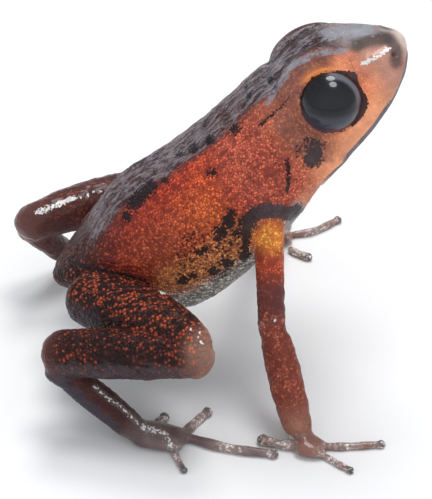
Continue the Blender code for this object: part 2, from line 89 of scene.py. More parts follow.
HEAD_FORWARD = np.array([math.cos(HEAD_PITCH) * math.cos(HEAD_YAW),
                         math.cos(HEAD_PITCH) * math.sin(HEAD_YAW),
                         math.sin(HEAD_PITCH)])
LEVEL_LEFT = np.array([-math.sin(HEAD_YAW), math.cos(HEAD_YAW), 0.0])
HEAD_LEFT = (LEVEL_LEFT * math.cos(HEAD_ROLL)
             - np.cross(HEAD_FORWARD, LEVEL_LEFT) * math.sin(HEAD_ROLL))
HEAD_UP = np.cross(HEAD_FORWARD, HEAD_LEFT)
HEAD_AXES = np.stack([HEAD_FORWARD, HEAD_LEFT, HEAD_UP], axis=1)
SIDES = {"right": -1, "left": 1}


def in_head(forward, left, up):
    """A place given in the head's axes: the head's centre plus each number times its axis."""
    return HEAD_CENTRE + HEAD_AXES @ np.array([forward, left, up])


def eye_place(sign):
    """The middle of one eyeball, the right one for -1 and the left one for 1."""
    return in_head(EYE_FORWARD, sign * EYE_OFFSET, EYE_RAISE)


SHIFT = np.mean(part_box("eye_right"), axis=0) - eye_place(SIDES["right"]) * SVL
print("vent to frame, mm:", np.round(SHIFT * 1000, 3))


def to_frame(points):
    """Shares of SVL from the floor under the vent, turned into metres in the frame."""
    return np.asarray(points) * SVL + SHIFT


# %% [markdown]
# ## Where the camera stands
#
# The camera looks down on the frog's right side from 34 degrees above the floor, a little
# from behind. A long lens from ten centimetres away gives the flat perspective of a close
# portrait. The aim point is the spot on the frog that the middle of the picture shows.

# %% Camera
VIEW_AZIMUTH = math.radians(-8.0)
VIEW_ELEVATION = math.radians(34.0)
VIEW_DISTANCE = 0.1000
VIEW_AIM = np.array([0.3777, -0.0609, 0.3208])
LENS = 236.6

BACKWARD = np.array([math.sin(VIEW_AZIMUTH) * math.cos(VIEW_ELEVATION),
                     -math.cos(VIEW_AZIMUTH) * math.cos(VIEW_ELEVATION),
                     math.sin(VIEW_ELEVATION)])


def in_scene(name, data):
    """A new object, put in the scene at the origin."""
    made = bpy.data.objects.new(name, data)
    bpy.context.scene.collection.objects.link(made)
    return made


camera = in_scene("portrait_camera", bpy.data.cameras.new("portrait_lens"))
camera.data.lens = LENS
camera.data.clip_start = 0.01
camera.data.clip_end = 5.0
camera.location = to_frame(VIEW_AIM) + BACKWARD * VIEW_DISTANCE
camera.rotation_euler = (math.pi / 2 - VIEW_ELEVATION, 0.0, VIEW_AZIMUTH)
bpy.context.scene.camera = camera
bpy.context.scene.view_settings.view_transform = "Standard"
print("camera at, mm:", np.round(np.array(camera.location) * 1000, 1))

# %% [markdown]
# ## Materials as arithmetic
#
# A material is a tree of nodes. Each node's output is kept here as a signal that can be
# added, subtracted and multiplied like a number, so that a look reads as a formula.

# %% Node helpers
class Signal:
    """A node's output that behaves like a number in a sum, a difference or a product."""

    def __init__(self, graph, socket):
        self.graph = graph
        self.socket = socket

    def __add__(self, other):
        return self.graph.calculate("ADD", self, other)

    def __sub__(self, other):
        return self.graph.calculate("SUBTRACT", self, other)

    def __rsub__(self, other):
        return self.graph.calculate("SUBTRACT", other, self)

    def __mul__(self, other):
        return self.graph.calculate("MULTIPLY", self, other)


class Graph:
    """The nodes of a material or a world, with a method for each kind that is needed."""

    def __init__(self, owner):
        owner.use_nodes = True
        self.owner = owner
        self.tree = owner.node_tree

    def give(self, node, values):
        """Link a node's inputs to signals, or set them where the value is plain."""
        for key, value in values.items():
            if isinstance(value, Signal):
                self.tree.links.new(value.socket, node.inputs[key])
            else:
                node.inputs[key].default_value = value

    def node(self, kind, output, values, **settings):
        """The output of a new node with the given inputs and settings."""
        made = self.tree.nodes.new(kind)
        for name, value in settings.items():
            setattr(made, name, value)
        self.give(made, values)
        return Signal(self, made.outputs[output])

    def calculate(self, operation, first, second):
        """Arithmetic on two numbers."""
        return self.node("ShaderNodeMath", 0, {0: first, 1: second}, operation=operation)

    def vector(self, operation, values):
        """Arithmetic on vectors or colours."""
        return self.node("ShaderNodeVectorMath", 0, values, operation=operation)

    def mix(self, share, first, second):
        """The first number where the share is 0 and the second where it is 1."""
        return self.node("ShaderNodeMix", 0, {0: share, 2: first, 3: second}, data_type="FLOAT")

    def blend(self, share, first, second):
        """The first colour where the share is 0 and the second where it is 1."""
        return self.node("ShaderNodeMix", 2, {0: share, 6: first, 7: second}, data_type="RGBA")

    def coordinates(self, kind):
        """The place of the shaded point."""
        return self.node("ShaderNodeTexCoord", kind, {})

    def stored(self, name, output="Fac"):
        """An attribute's number, or its colour."""
        return self.node("ShaderNodeAttribute", output, {}, attribute_name=name)

    def noise(self, place, size, detail, output="Fac"):
        """Noise from 0 to 1, whose largest features are about the size in metres."""
        values = {"Vector": place, "Scale": 1 / size, "Detail": detail}
        return self.node("ShaderNodeTexNoise", output, values)

    def cells(self, place, size, feature, output):
        """A cellular texture with cells of the size in metres."""
        values = {"Vector": place, "Scale": 1 / size}
        return self.node("ShaderNodeTexVoronoi", output, values, feature=feature)

    def ramp(self, value, start, stop, kind="SMOOTHSTEP"):
        """A smooth step from 0 at start to 1 at stop."""
        values = {"Value": value, "From Min": start, "From Max": stop}
        return self.node("ShaderNodeMapRange", "Result", values, interpolation_type=kind)


def new_material(name):
    """A new material's graph and its shader."""
    graph = Graph(bpy.data.materials.new(name))
    return graph, graph.tree.nodes["Principled BSDF"]


# %% [markdown]
# ## A pale floor and soft light
#
# The photograph is lit from overhead: the eye shows two round lamps near its top, and its
# lower half mirrors a pale floor. A mirror ball tells where a lamp stands, because the
# light leaves it at the angle at which it came. Worked back from the two highlights, one
# lamp hangs over the frog and one behind it, each as wide as a plate at arm's length. An
# even, weaker white world fills the shadows. It is dimmer behind the frog, where the
# photograph's wet edges and the rim of the eye mirror something dark.

# %% Floor, world and lamps
FLOOR_SIZE = 3.0
FLOOR_LOOK = {"Base Color": (0.86, 0.86, 0.86, 1.0), "Roughness": 0.9, "Specular IOR Level": 0.1}
SKY_IN_FRONT = (1.22, 1.26, 1.30, 1.0)
SKY_BEHIND = (0.42, 0.44, 0.48, 1.0)
SKY_STRENGTH = 0.74
SKY_TURN = 0.7
LAMPS = {"round_lamp_near": (0.174, 0.059, 1.0), "round_lamp_far": (0.134, 0.587, 1.0)}
LAMP_DISTANCE = 0.20
LAMP_WIDTH = 0.078
LAMP_POWER = 0.145

half = FLOOR_SIZE / 2
floor_mesh = bpy.data.meshes.new("pale_floor")
floor_mesh.from_pydata([(-half, -half, 0), (half, -half, 0), (half, half, 0), (-half, half, 0)],
                       [], [(0, 1, 2, 3)])
floor_graph, floor_shader = new_material("pale_floor")
floor_graph.give(floor_shader, FLOOR_LOOK)
floor_mesh.materials.append(floor_graph.owner)
floor = in_scene("pale_floor", floor_mesh)
floor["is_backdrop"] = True

world = bpy.data.worlds.new("white_room")
sky = Graph(world)
depth = sky.node("ShaderNodeSeparateXYZ", "Y", {0: sky.coordinates("Generated")})
depth = sky.ramp(depth, -SKY_TURN, SKY_TURN, "LINEAR")
sky.give(sky.tree.nodes["Background"],
         {"Color": sky.blend(depth, SKY_IN_FRONT, SKY_BEHIND), "Strength": SKY_STRENGTH})
bpy.context.scene.world = world

for name, direction in LAMPS.items():
    lamp_data = bpy.data.lights.new(name, "AREA")
    lamp_data.shape = "DISK"
    lamp_data.size = LAMP_WIDTH
    lamp_data.energy = LAMP_POWER
    lamp = in_scene(name, lamp_data)
    direction = np.array(direction) / np.linalg.norm(direction)
    lamp.location = to_frame(VIEW_AIM) + direction * LAMP_DISTANCE
    lamp.rotation_euler = (math.pi / 2 - math.asin(direction[2]), 0.0,
                           math.atan2(direction[0], -direction[1]))
print("lamps:", ", ".join(LAMPS))

# %% [markdown]
# ## Bodies as surfaces of two numbers
#
# Trunk, head and limbs are all the same kind of shape: a section carried along a curved path. One
# number says how far along the path a point is, the other how far round the section. The path and
# the half sizes are smooth curves through a few given values, and the two ends are rounded off like
# quarter ellipses. Because a whole form is one formula, numpy works out all of its points at once.

# %% The carried section
END_MARGIN = 0.02


def unit(vectors):
    """Vectors scaled to length one."""
    vectors = np.asarray(vectors, float)
    return vectors / np.linalg.norm(vectors, axis=-1, keepdims=True)


def smooth_curve(knots, values, at):
    """A cubic through values at knots, each slope that of the line between its neighbours."""
    knots = np.asarray(knots, float)
    values = np.asarray(values, float).reshape(len(knots), -1)
    slopes = np.gradient(values, axis=0) / np.gradient(knots)[:, None]
    i = np.clip(np.searchsorted(knots, at, side="right") - 1, 0, len(knots) - 2)
    span = (knots[i + 1] - knots[i])[:, None]
    t = (at - knots[i])[:, None] / span
    return ((2 * t**3 - 3 * t**2 + 1) * values[i] + (t**3 - 2 * t**2 + t) * span * slopes[i]
            + (3 * t**2 - 2 * t**3) * values[i + 1] + (t**3 - t**2) * span * slopes[i + 1])


def rounded_ends(at, first, last):
    """Size of the section: 1 between the ends, the root of 1 - d squared within them."""
    from_start = 1 - np.clip(at / first, 0, 1)
    from_end = 1 - np.clip((1 - at) / last, 0, 1)
    return np.sqrt(np.clip(1 - np.maximum(from_start, from_end) ** 2, 0, 1))


def rounded_square(angles, power, taper):
    """Cosine and sine raised to 2 / power, the upper half narrowed by taper times height."""
    across = np.sign(np.cos(angles)) * np.abs(np.cos(angles)) ** (2 / power)
    height = np.sign(np.sin(angles)) * np.abs(np.sin(angles)) ** (2 / power)
    return across * (1 - taper * np.clip(height, 0, 1)), height


def even_knots(path):
    """Each path point's share of the path's whole length."""
    steps = np.linalg.norm(np.diff(np.asarray(path, float), axis=0), axis=1)
    return np.concatenate([[0.0], np.cumsum(steps)]) / steps.sum()


class Form:
    """A section carried along a path: called with places along and angles round it.

    A point is the path's point, plus the section's cosine times the half width along the
    side direction, plus its sine times the half height square to both.
    """

    def __init__(self, path, side, half_width, half_up, half_down=None, knots=None,
                 size_knots=None, power=2.1, taper=0.0, ends=(0.1, 0.1)):
        self.path = np.asarray(path, float)
        self.knots = even_knots(path) if knots is None else np.asarray(knots, float)
        self.size_knots = self.knots if size_knots is None else np.asarray(size_knots, float)
        self.side = np.asarray(side, float).reshape(-1, 3)
        self.sizes = (half_width, half_up, half_up if half_down is None else half_down)
        self.power = power
        self.taper = taper
        self.ends = ends

    def frame(self, at):
        """Centre, tangent, side and up directions, and the three half sizes, at each place."""
        centre = smooth_curve(self.knots, self.path, at)
        tangent = unit(smooth_curve(self.knots, self.path, np.clip(at + 1e-4, 0, 1))
                       - smooth_curve(self.knots, self.path, np.clip(at - 1e-4, 0, 1)))
        side_at = np.linspace(0, 1, len(self.side))
        sideways = np.stack([np.interp(at, side_at, self.side[:, k]) for k in range(3)], axis=1)
        sideways = unit(sideways - (sideways * tangent).sum(axis=1, keepdims=True) * tangent)
        sizes = [smooth_curve(self.size_knots, size, at)[:, 0] for size in self.sizes]
        return centre, tangent, sideways, np.cross(tangent, sideways), sizes

    def __call__(self, at, angles):
        at = np.asarray(at, float)
        centre, _, sideways, upward, sizes = self.frame(at)
        width, rise, fall = (size * rounded_ends(at, *self.ends) for size in sizes)
        across, height = rounded_square(np.asarray(angles, float), self.power, self.taper)
        lift = np.where(height > 0, rise[:, None] * height, fall[:, None] * height)
        return (centre[:, None] + (width[:, None] * across)[..., None] * sideways[:, None]
                + lift[..., None] * upward[:, None])


def closed_grid(surface, count, segments):
    """Points and four-sided faces of a form, with rings closer together at its ends."""
    at = (1 - np.cos(np.linspace(END_MARGIN, math.pi - END_MARGIN, count))) / 2
    angles = np.arange(segments) * 2 * math.pi / segments
    rings = surface(at, angles)
    ends = surface(np.array([0.0, 1.0]), angles[:1])[:, 0]
    points = np.concatenate([rings.reshape(-1, 3), ends])
    ring = (np.arange(count - 1) * segments)[:, None]
    around = np.arange(segments)[None]
    after = (around + 1) % segments
    walls = np.stack([ring + around, ring + after, ring + segments + after,
                      ring + segments + around], axis=-1).reshape(-1, 4)
    first, last = len(points) - 2, len(points) - 1
    around, after = around[0], after[0]
    bottom = (count - 1) * segments
    start = np.stack([after, around, np.full(segments, first), np.full(segments, first)], axis=1)
    stop = np.stack([bottom + around, bottom + after, np.full(segments, last),
                     np.full(segments, last)], axis=1)
    return points, np.concatenate([walls, start, stop])


def ellipsoid(centre, radii, axes=np.identity(3)):
    """A surface: centre plus the radii times the sines and cosines of two angles."""
    def surface(at, angles):
        turn = np.asarray(at)[:, None] * math.pi
        angles = np.asarray(angles)[None]
        shape = np.stack([-np.cos(turn) + 0 * angles, np.sin(turn) * np.cos(angles),
                          np.sin(turn) * np.sin(angles)], axis=-1)
        return np.asarray(centre) + (shape * np.asarray(radii)) @ np.asarray(axes).T
    return surface


# %% [markdown]
# ## Trunk and head
#
# The trunk starts narrow at the vent, is deepest at the belly and rolls a little towards
# the neck. The head is widest at the mouth line, its top is narrower, and the snout is
# blunt. A ball under each brow carries the eye.

# %% Trunk, head and brows
TRUNK_PATH = [(0.000, 0, 0.238), (0.094, 0, 0.287), (0.216, 0, 0.346), (0.357, 0, 0.415),
              (0.493, 0, 0.521), (0.584, 0, 0.619), (0.650, 0, 0.699)]
TRUNK_KNOTS = (0.0, 0.14, 0.30, 0.50, 0.70, 0.87, 1.0)
TRUNK_ROLL = HEAD_ROLL * np.array([0.0, 0.55, 1.0, 1.0])
trunk = Form(TRUNK_PATH, np.stack([np.zeros(4), np.cos(TRUNK_ROLL), -np.sin(TRUNK_ROLL)], axis=1),
             half_width=(0.074, 0.104, 0.155, 0.195, 0.190, 0.172, 0.158),
             half_up=(0.028, 0.060, 0.136, 0.151, 0.156, 0.152, 0.140),
             half_down=(0.050, 0.102, 0.210, 0.183, 0.141, 0.104, 0.075),
             knots=TRUNK_KNOTS, power=2.2, ends=(0.14, 0.10))

HEAD_ALONG = (-0.200, -0.131, -0.054, 0.015, 0.085, 0.148, 0.193)
MOUTH_LEVEL = (-0.097, -0.097, -0.097, -0.097, -0.091, -0.073, -0.055)
head = Form([in_head(f, 0.0, m) for f, m in zip(HEAD_ALONG, MOUTH_LEVEL)], HEAD_LEFT,
            half_width=(0.150, 0.166, 0.164, 0.152, 0.127, 0.098, 0.076),
            half_up=(0.170, 0.185, 0.195, 0.194, 0.184, 0.169, 0.144),
            half_down=(0.075, 0.060, 0.053, 0.051, 0.046, 0.045, 0.053),
            knots=(0.0, 0.20, 0.42, 0.60, 0.78, 0.92, 1.0), power=2.4, taper=0.30,
            ends=(0.12, 0.13))

BROW_RADII = (0.107, 0.092, 0.091)
BROW_INWARD = 0.035
BROW_BACK = 0.006
BROW_RAISE = 0.012


def brow_place(sign):
    """The middle of the ball under one brow."""
    return in_head(-BROW_BACK, sign * (EYE_OFFSET - BROW_INWARD), BROW_RAISE)


flesh = [closed_grid(trunk, 150, 120), closed_grid(head, 130, 120)]
for sign in SIDES.values():
    flesh.append(closed_grid(ellipsoid(brow_place(sign), BROW_RADII, HEAD_AXES), 50, 60))
print("trunk, head and brows:", sum(len(points) for points, faces in flesh), "points")

# %% [markdown]
# ## Legs and arms
#
# The hind legs are folded: thigh forward, shank back under it, and the long ankle segment
# forward again to the foot. The arms stand almost straight under the chest. Each segment
# is a form through three places, and small balls round off the knees, heels and elbows.

# %% Limb places and segments
LEGS = {
    "right": dict(
        hip=(0.049, -0.075, 0.250), knee=(0.310, -0.411, 0.277),
        shank_top=(0.323, -0.409, 0.267), heel=(-0.056, -0.257, 0.207),
        tarsus_top=(-0.040, -0.261, 0.191), ankle=(0.158, -0.358, 0.026),
        sole=((0.138, -0.350, 0.028), (0.205, -0.367, 0.021), (0.263, -0.382, 0.014)),
        shank_radii=(0.048, 0.057, 0.051), tarsus_radii=(0.039, 0.035, 0.033),
        toes=(
            ((0.184, -0.335), (0.204, -0.306), (0.217, -0.287)),
            ((0.201, -0.341), (0.219, -0.297), (0.229, -0.270)),
            ((0.251, -0.363), (0.295, -0.311), (0.336, -0.266)),
            ((0.260, -0.364), (0.360, -0.423), (0.469, -0.460)),
            ((0.226, -0.394), (0.236, -0.447), (0.246, -0.492)),
        ),
    ),
    "left": dict(
        hip=(0.119, 0.082, 0.262), knee=(0.301, 0.357, 0.266),
        shank_top=(0.314, 0.361, 0.248), heel=(-0.072, 0.265, 0.212),
        tarsus_top=(-0.046, 0.281, 0.207), ankle=(0.091, 0.373, 0.026),
        sole=((0.081, 0.376, 0.028), (0.141, 0.410, 0.021), (0.216, 0.440, 0.014)),
        shank_radii=(0.044, 0.056, 0.042), tarsus_radii=(0.035, 0.033, 0.028),
        toes=(
            ((0.135, 0.385), (0.150, 0.345), (0.158, 0.312)),
            ((0.170, 0.395), (0.202, 0.350), (0.217, 0.322)),
            ((0.185, 0.415), (0.235, 0.365), (0.272, 0.315)),
            ((0.190, 0.435), (0.300, 0.462), (0.405, 0.492)),
            ((0.155, 0.425), (0.165, 0.480), (0.180, 0.525)),
        ),
    ),
}
ARMS = {
    "right": dict(
        shoulder=(0.487, -0.142, 0.480), elbow=(0.479, -0.279, 0.197),
        forearm_top=(0.481, -0.272, 0.230), wrist=(0.525, -0.423, 0.024),
        palm=((0.521, -0.432, 0.022), (0.546, -0.451, 0.019), (0.575, -0.462, 0.014)),
        fingers=(
            ((0.520, -0.440), (0.477, -0.424), (0.427, -0.396)),
            ((0.538, -0.415), (0.541, -0.384), (0.533, -0.346)),
            ((0.562, -0.440), (0.624, -0.450), (0.719, -0.453)),
            ((0.555, -0.456), (0.591, -0.503), (0.627, -0.545)),
        ),
    ),
    "left": dict(
        shoulder=(0.492, 0.136, 0.450), elbow=(0.511, 0.286, 0.216),
        forearm_top=(0.504, 0.272, 0.244), wrist=(0.596, 0.408, 0.028),
        palm=((0.596, 0.408, 0.024), (0.612, 0.424, 0.019), (0.636, 0.436, 0.014)),
        fingers=(
            ((0.618, 0.430), (0.575, 0.455), (0.520, 0.480)),
            ((0.622, 0.378), (0.644, 0.350), (0.675, 0.325)),
            ((0.637, 0.436), (0.700, 0.446), (0.778, 0.495)),
            ((0.622, 0.442), (0.643, 0.492), (0.652, 0.545)),
        ),
    ),
}
UPWARD = (0.0, 0.0, 1.0)
THIGH_HEIGHTS = (0.062, 0.076, 0.049)
THIGH_WIDTHS = (0.074, 0.071, 0.046), (0.077, 0.081, 0.037)
UPPER_ARM_RADII = (0.040, 0.033, 0.030)
FOREARM_HEIGHTS, FOREARM_WIDTHS = (0.034, 0.040, 0.035), (0.034, 0.038, 0.033)


def between(first, second, share):
    """The place a share of the way from one place to another."""
    return (1 - share) * np.asarray(first) + share * np.asarray(second)


def segment(first, second, heights, outer=None, inner=None, share=0.5, ends=(0.12, 0.12)):
    """A limb segment: a form through its two ends and one place between them."""
    path = (first, between(first, second, share), second)
    outer = heights if outer is None else outer
    return Form(path, UPWARD, half_width=heights, half_up=outer, half_down=inner, ends=ends)


limbs = {}
for side, leg in LEGS.items():
    widths = THIGH_WIDTHS if side == "right" else THIGH_WIDTHS[::-1]
    limbs["thigh_" + side] = segment(leg["hip"], leg["knee"], THIGH_HEIGHTS, *widths, share=0.55)
    limbs["shank_" + side] = segment(leg["shank_top"], leg["heel"], leg["shank_radii"],
                                     share=0.45, ends=(0.11, 0.12))
    limbs["tarsus_" + side] = segment(leg["tarsus_top"], leg["ankle"], leg["tarsus_radii"])
for side, arm in ARMS.items():
    limbs["upper_arm_" + side] = segment(arm["shoulder"], arm["elbow"], UPPER_ARM_RADII,
                                         ends=(0.08, 0.10))
    limbs["forearm_" + side] = segment(arm["forearm_top"], arm["wrist"], FOREARM_HEIGHTS,
                                       FOREARM_WIDTHS, share=0.55, ends=(0.12, 0.10))
flesh += [closed_grid(limb, 90, 64) for limb in limbs.values()]
print("limb segments:", ", ".join(limbs))

# %% [markdown]
# ## Hands and feet
#
# A dart frog has slim toes without webs. Each toe swells a little at its joints and ends
# in a small disc with two plates on top. All of them lie on the floor, so their middles
# are one toe radius above it, and what would reach below the floor is pressed flat later.

# %% Palms, soles, toes and discs
TOE_RADIUS = 0.0112
TOE_SINK = 0.92
TOE_KNOTS = np.linspace(0, 1, 7)
TOE_SHAPE = np.array([1.18, 0.98, 1.06, 0.86, 0.96, 0.80, 0.78])
DISC_RADII = np.array([0.0145, 0.0130, 0.0090])
DISC_RISE = 0.95
PLATE_RADII = np.array([0.0070, 0.0052, 0.0044])
PLATE_SHIFT = (0.14, 0.0, 0.80)
PLATE_APART = 0.42
FOOT_SLIMNESS = (1.0, 1.0, 1.0, 1.05, 0.72)
HAND_SLIMNESS = (1.15, 0.90, 0.85, 0.75)
SOLE_SIZES = ((0.029, 0.022, 0.014), (0.036, 0.044, 0.036))
PALM_SIZES = ((0.024, 0.019, 0.013), (0.036, 0.036, 0.028))
PAWS = [("foot_" + side, leg["sole"], leg["toes"], SOLE_SIZES, FOOT_SLIMNESS)
        for side, leg in LEGS.items()]
PAWS += [("hand_" + side, arm["palm"], arm["fingers"], PALM_SIZES, HAND_SLIMNESS)
         for side, arm in ARMS.items()]


def toe(places, slimness):
    """A form along the floor whose radius swells at each joint of the toe."""
    path = [(x, y, TOE_RADIUS * TOE_SINK * slimness) for x, y in places]
    radii = TOE_RADIUS * TOE_SHAPE * slimness
    return Form(path, UPWARD, half_width=radii, half_up=radii, size_knots=TOE_KNOTS,
                ends=(0.08, 0.08))


def toe_disc(places, slimness):
    """The disc at a toe's end, with its pair of small plates on top."""
    radii = DISC_RADII * slimness
    before, tip = (np.array((*place, 0.0)) for place in places[-2:])
    forward = unit(tip - before)
    across = np.cross(UPWARD, forward)
    axes = np.stack([forward, across, UPWARD], axis=1)
    centre = tip - forward * radii[0] + np.array([0, 0, radii[2] * DISC_RISE])
    grids = [closed_grid(ellipsoid(centre, radii, axes), 24, 28)]
    for sign in (-1, 1):
        plate = centre + radii * PLATE_SHIFT @ axes.T + across * sign * radii[1] * PLATE_APART
        grids.append(closed_grid(ellipsoid(plate, PLATE_RADII * slimness, axes), 16, 20))
    return grids


for _, pad, digits, (heights, widths), slimnesses in PAWS:
    broad = Form(pad, UPWARD, half_width=heights, half_up=widths, ends=(0.14, 0.14))
    flesh.append(closed_grid(broad, 50, 48))
    for places, slimness in zip(digits, slimnesses):
        flesh += [closed_grid(toe(places, slimness), 60, 28), *toe_disc(places, slimness)]
print("closed forms to fuse:", len(flesh))

# %% [markdown]
# ## One skin over everything
#
# The forms overlap like balls of clay. A voxel remesh walks over the outside of them all
# and makes one closed surface with no seams. It is done on a mesh whose unit is the SVL,
# because its smallest voxel would be too coarse in metres. The voxel steps are then worn
# away by Taubin smoothing: a step towards the neighbours' mean and a slightly longer step
# back, which takes the roughness away without thinning the toes.

# %% Fuse and smooth
VOXEL = 0.0030


def joined(grids):
    """One list of points and faces from several."""
    offsets = np.cumsum([0] + [len(points) for points, faces in grids[:-1]])
    return (np.concatenate([points for points, faces in grids]),
            np.concatenate([faces + offset for (points, faces), offset in zip(grids, offsets)]))


def mesh_from(name, points, faces):
    """A mesh from arrays, where a face whose last two corners agree is a triangle."""
    mesh = bpy.data.meshes.new(name)
    sides = [tuple(f[:3]) if f[2] == f[3] else tuple(f) for f in faces.tolist()]
    mesh.from_pydata(points.tolist(), [], sides)
    mesh.update()
    return mesh


def read_rows(items, key, width=3, kind=np.float32):
    """A property of all a mesh's points or edges, as the rows of an array."""
    flat = np.empty(len(items) * width, kind)
    items.foreach_get(key, flat)
    return flat.reshape(-1, width)


def write_points(mesh, points):
    """Put the points back into the mesh."""
    mesh.vertices.foreach_set("co", np.ascontiguousarray(points, np.float32).ravel())
    mesh.update()


def baked(item):
    """The mesh that the object's modifiers give, and its points."""
    evaluated = item.evaluated_get(bpy.context.evaluated_depsgraph_get())
    mesh = bpy.data.meshes.new_from_object(evaluated)
    item.modifiers.clear()
    item.data = mesh
    return mesh, read_rows(mesh.vertices, "co").astype(float)


def neighbour_mean(points, edges):
    """Each point's mean of its neighbours, by adding both ends of every edge."""
    ends = np.concatenate([edges[:, 0], edges[:, 1]])
    others = np.concatenate([edges[:, 1], edges[:, 0]])
    count = np.bincount(ends, minlength=len(points))[:, None]
    total = np.stack([np.bincount(ends, points[others, k], len(points)) for k in range(3)], axis=1)
    return total / np.maximum(count, 1)


def taubin(points, edges, rounds, keep=0.5, back=0.52):
    """A step towards the neighbours' mean, then a longer one away, several times."""
    for _ in range(rounds):
        points = points + keep * (neighbour_mean(points, edges) - points)
        points = points - back * (neighbour_mean(points, edges) - points)
    return points


def relax(points, edges, weight, rounds, step=0.6):
    """Steps towards the neighbours' mean, each scaled by a weight at every point."""
    for _ in range(rounds):
        points = points + step * weight[:, None] * (neighbour_mean(points, edges) - points)
    return points


skin = in_scene("skin", mesh_from("skin", *joined(flesh)))
remesh = skin.modifiers.new("one_surface", "REMESH")
remesh.mode = "VOXEL"
remesh.voxel_size = VOXEL
remesh.use_smooth_shade = True
mesh, points = baked(skin)
edges = read_rows(mesh.edges, "vertices", 2, np.int32)
points = taubin(points, edges, rounds=8)
print("skin after remesh:", len(points), "points,", len(mesh.polygons), "faces")

# %% [markdown]
# ## Soft corners where limbs join
#
# Clay balls meet in sharp valleys. On a real frog the skin stretches over those corners,
# so around the shoulders, elbows, wrists, heels, ankles, toe roots and the sides of the
# head the points are relaxed until the valleys turn into soft fillets. The fold between
# thigh and belly stays sharp, as in the photograph.

# %% Relax the joints
def smooth_step(t):
    """0 below 0, 1 above 1, and 3 t squared - 2 t cubed between."""
    t = np.clip(t, 0, 1)
    return t * t * (3 - 2 * t)


def fade(values, start, stop):
    """The smooth step of a value from where it starts to where it is full."""
    return smooth_step((values - start) / (stop - start))


def near(points, place, radius):
    """The smooth step of the nearness to a place: 1 there, and 0 from the radius on."""
    return smooth_step(1 - np.linalg.norm(points - np.asarray(place), axis=1) / radius)


def highest(values):
    """The greatest of several numbers at each point."""
    return np.maximum.reduce(list(values))


# Each fillet has a place, a radius and a strength.
fillets = [(in_head(-0.15, 0.0, 0.04), 0.12, 0.5), (in_head(0.0, 0.0, 0.09), 0.07, 1.0)]
for sign in SIDES.values():
    fillets += [(in_head(-0.10, sign * 0.11, 0.0), 0.10, 1.0),
                (in_head(0.09, sign * 0.075, 0.02), 0.08, 1.0)]
for arm in ARMS.values():
    fillets += [(between(arm["shoulder"], arm["elbow"], 0.25), 0.11, 1.0),
                (arm["elbow"], 0.07, 1.0), (arm["wrist"], 0.09, 1.0), (arm["palm"][1], 0.07, 1.0)]
for leg in LEGS.values():
    fillets += [(leg["heel"], 0.13, 1.0), (leg["ankle"], 0.10, 1.0), (leg["sole"][0], 0.07, 1.0),
                (leg["sole"][1], 0.06, 0.7), (leg["sole"][2], 0.05, 0.7)]
soft = highest(strength * near(points, place, radius) for place, radius, strength in fillets)
points = relax(points, edges, soft, rounds=60)
points[:, 2] = np.maximum(points[:, 2], 0.0)
print("relaxed points:", int((soft > 0).sum()))

# %% [markdown]
# ## Lids that hug the eyeball
#
# The eye bulges out of the head, and the skin ends round it in a thin rounded rim. Every
# skin point near an eye is described by its distance from the eye's centre and its angle
# from the line of sight. Inside the opening the skin is drawn in under the eyeball. Just
# outside it the skin lies a lid's thickness over the eyeball, and further out it eases
# back into the brow, more steeply above than below. The opening is a few degrees wider
# above and at the back corner, and narrower in front.

# %% Sculpt the lids
GAZE = (0.22, 1.0, 0.25)
LID_THICKNESS = 0.0065
LID_OPENING = math.radians(72.0)
WIDER_ABOVE = math.radians(3.0)
WIDER_BEHIND = math.radians(5.0)
NARROWER_IN_FRONT = math.radians(4.0)
LID_HUG = math.radians(24.0)
LID_EDGE = 0.07
BROW_STEEPNESS = 0.45
UNDER_EYE = 0.80
EYE_SURROUND = 1.9
LID_MARGIN = 0.1


def around_eye(points, sign):
    """Distance from the eye, angle from the gaze, angle past the lid, height, and way ahead.

    The lid's half angle is the opening, plus or minus a few degrees by powers of the height
    above the gaze and of the way ahead of it.
    """
    offset = (points - eye_place(sign)) @ HEAD_AXES
    offset = offset * np.array([1.0, sign, 1.0])
    distance = np.linalg.norm(offset, axis=1)
    direction = offset / np.maximum(distance, 1e-9)[:, None]
    gaze = unit(GAZE)
    angle = np.arccos(np.clip(direction @ gaze, -1, 1))
    up = unit(np.array(UPWARD) - gaze[2] * gaze)
    front = np.cross(gaze, up)
    above = direction @ up / np.maximum(np.sin(angle), 1e-6)
    ahead = direction @ front / np.maximum(np.sin(angle), 1e-6)
    opening = (LID_OPENING + WIDER_ABOVE * np.clip(above, 0, 1) ** 1.5
               + WIDER_BEHIND * np.clip(-ahead, 0, 1) ** 4
               - NARROWER_IN_FRONT * np.clip(ahead, 0, 1) ** 2)
    return distance, angle, angle - opening, above, ahead


def sculpt_lids(points, sign):
    """Move points along their line from the eye's centre, to the lid or under the eyeball."""
    distance, angle, past, above, _ = around_eye(points, sign)
    lid = EYE_RADIUS + LID_THICKNESS
    hug = smooth_step(past / LID_HUG / (1 - BROW_STEEPNESS * np.clip(above, 0, 1)))
    outside = lid + (np.maximum(distance, lid) - lid) * hug
    under = EYE_RADIUS * UNDER_EYE
    wanted = under + (outside - under) * fade(past, -LID_EDGE, 0.0)
    reach = (distance < EYE_RADIUS * EYE_SURROUND) & (angle < LID_OPENING + LID_HUG + LID_MARGIN)
    change = np.where(reach, wanted - distance, 0.0)
    place = eye_place(sign)
    return place + (points - place) * (1 + change / np.maximum(distance, 1e-9))[:, None]


for sign in SIDES.values():
    points = sculpt_lids(points, sign)
print("lids sculpted, rim", round(LID_THICKNESS * SVL * 1000, 3), "mm thick")

# %% [markdown]
# ## Mouth, nostrils, eardrum and folds
#
# Small features are pushed in or out along the skin's own normals. Each is a sum of bell
# curves of the distance to a line or a place: a groove, a raised ring, or a groove between
# two rolls.

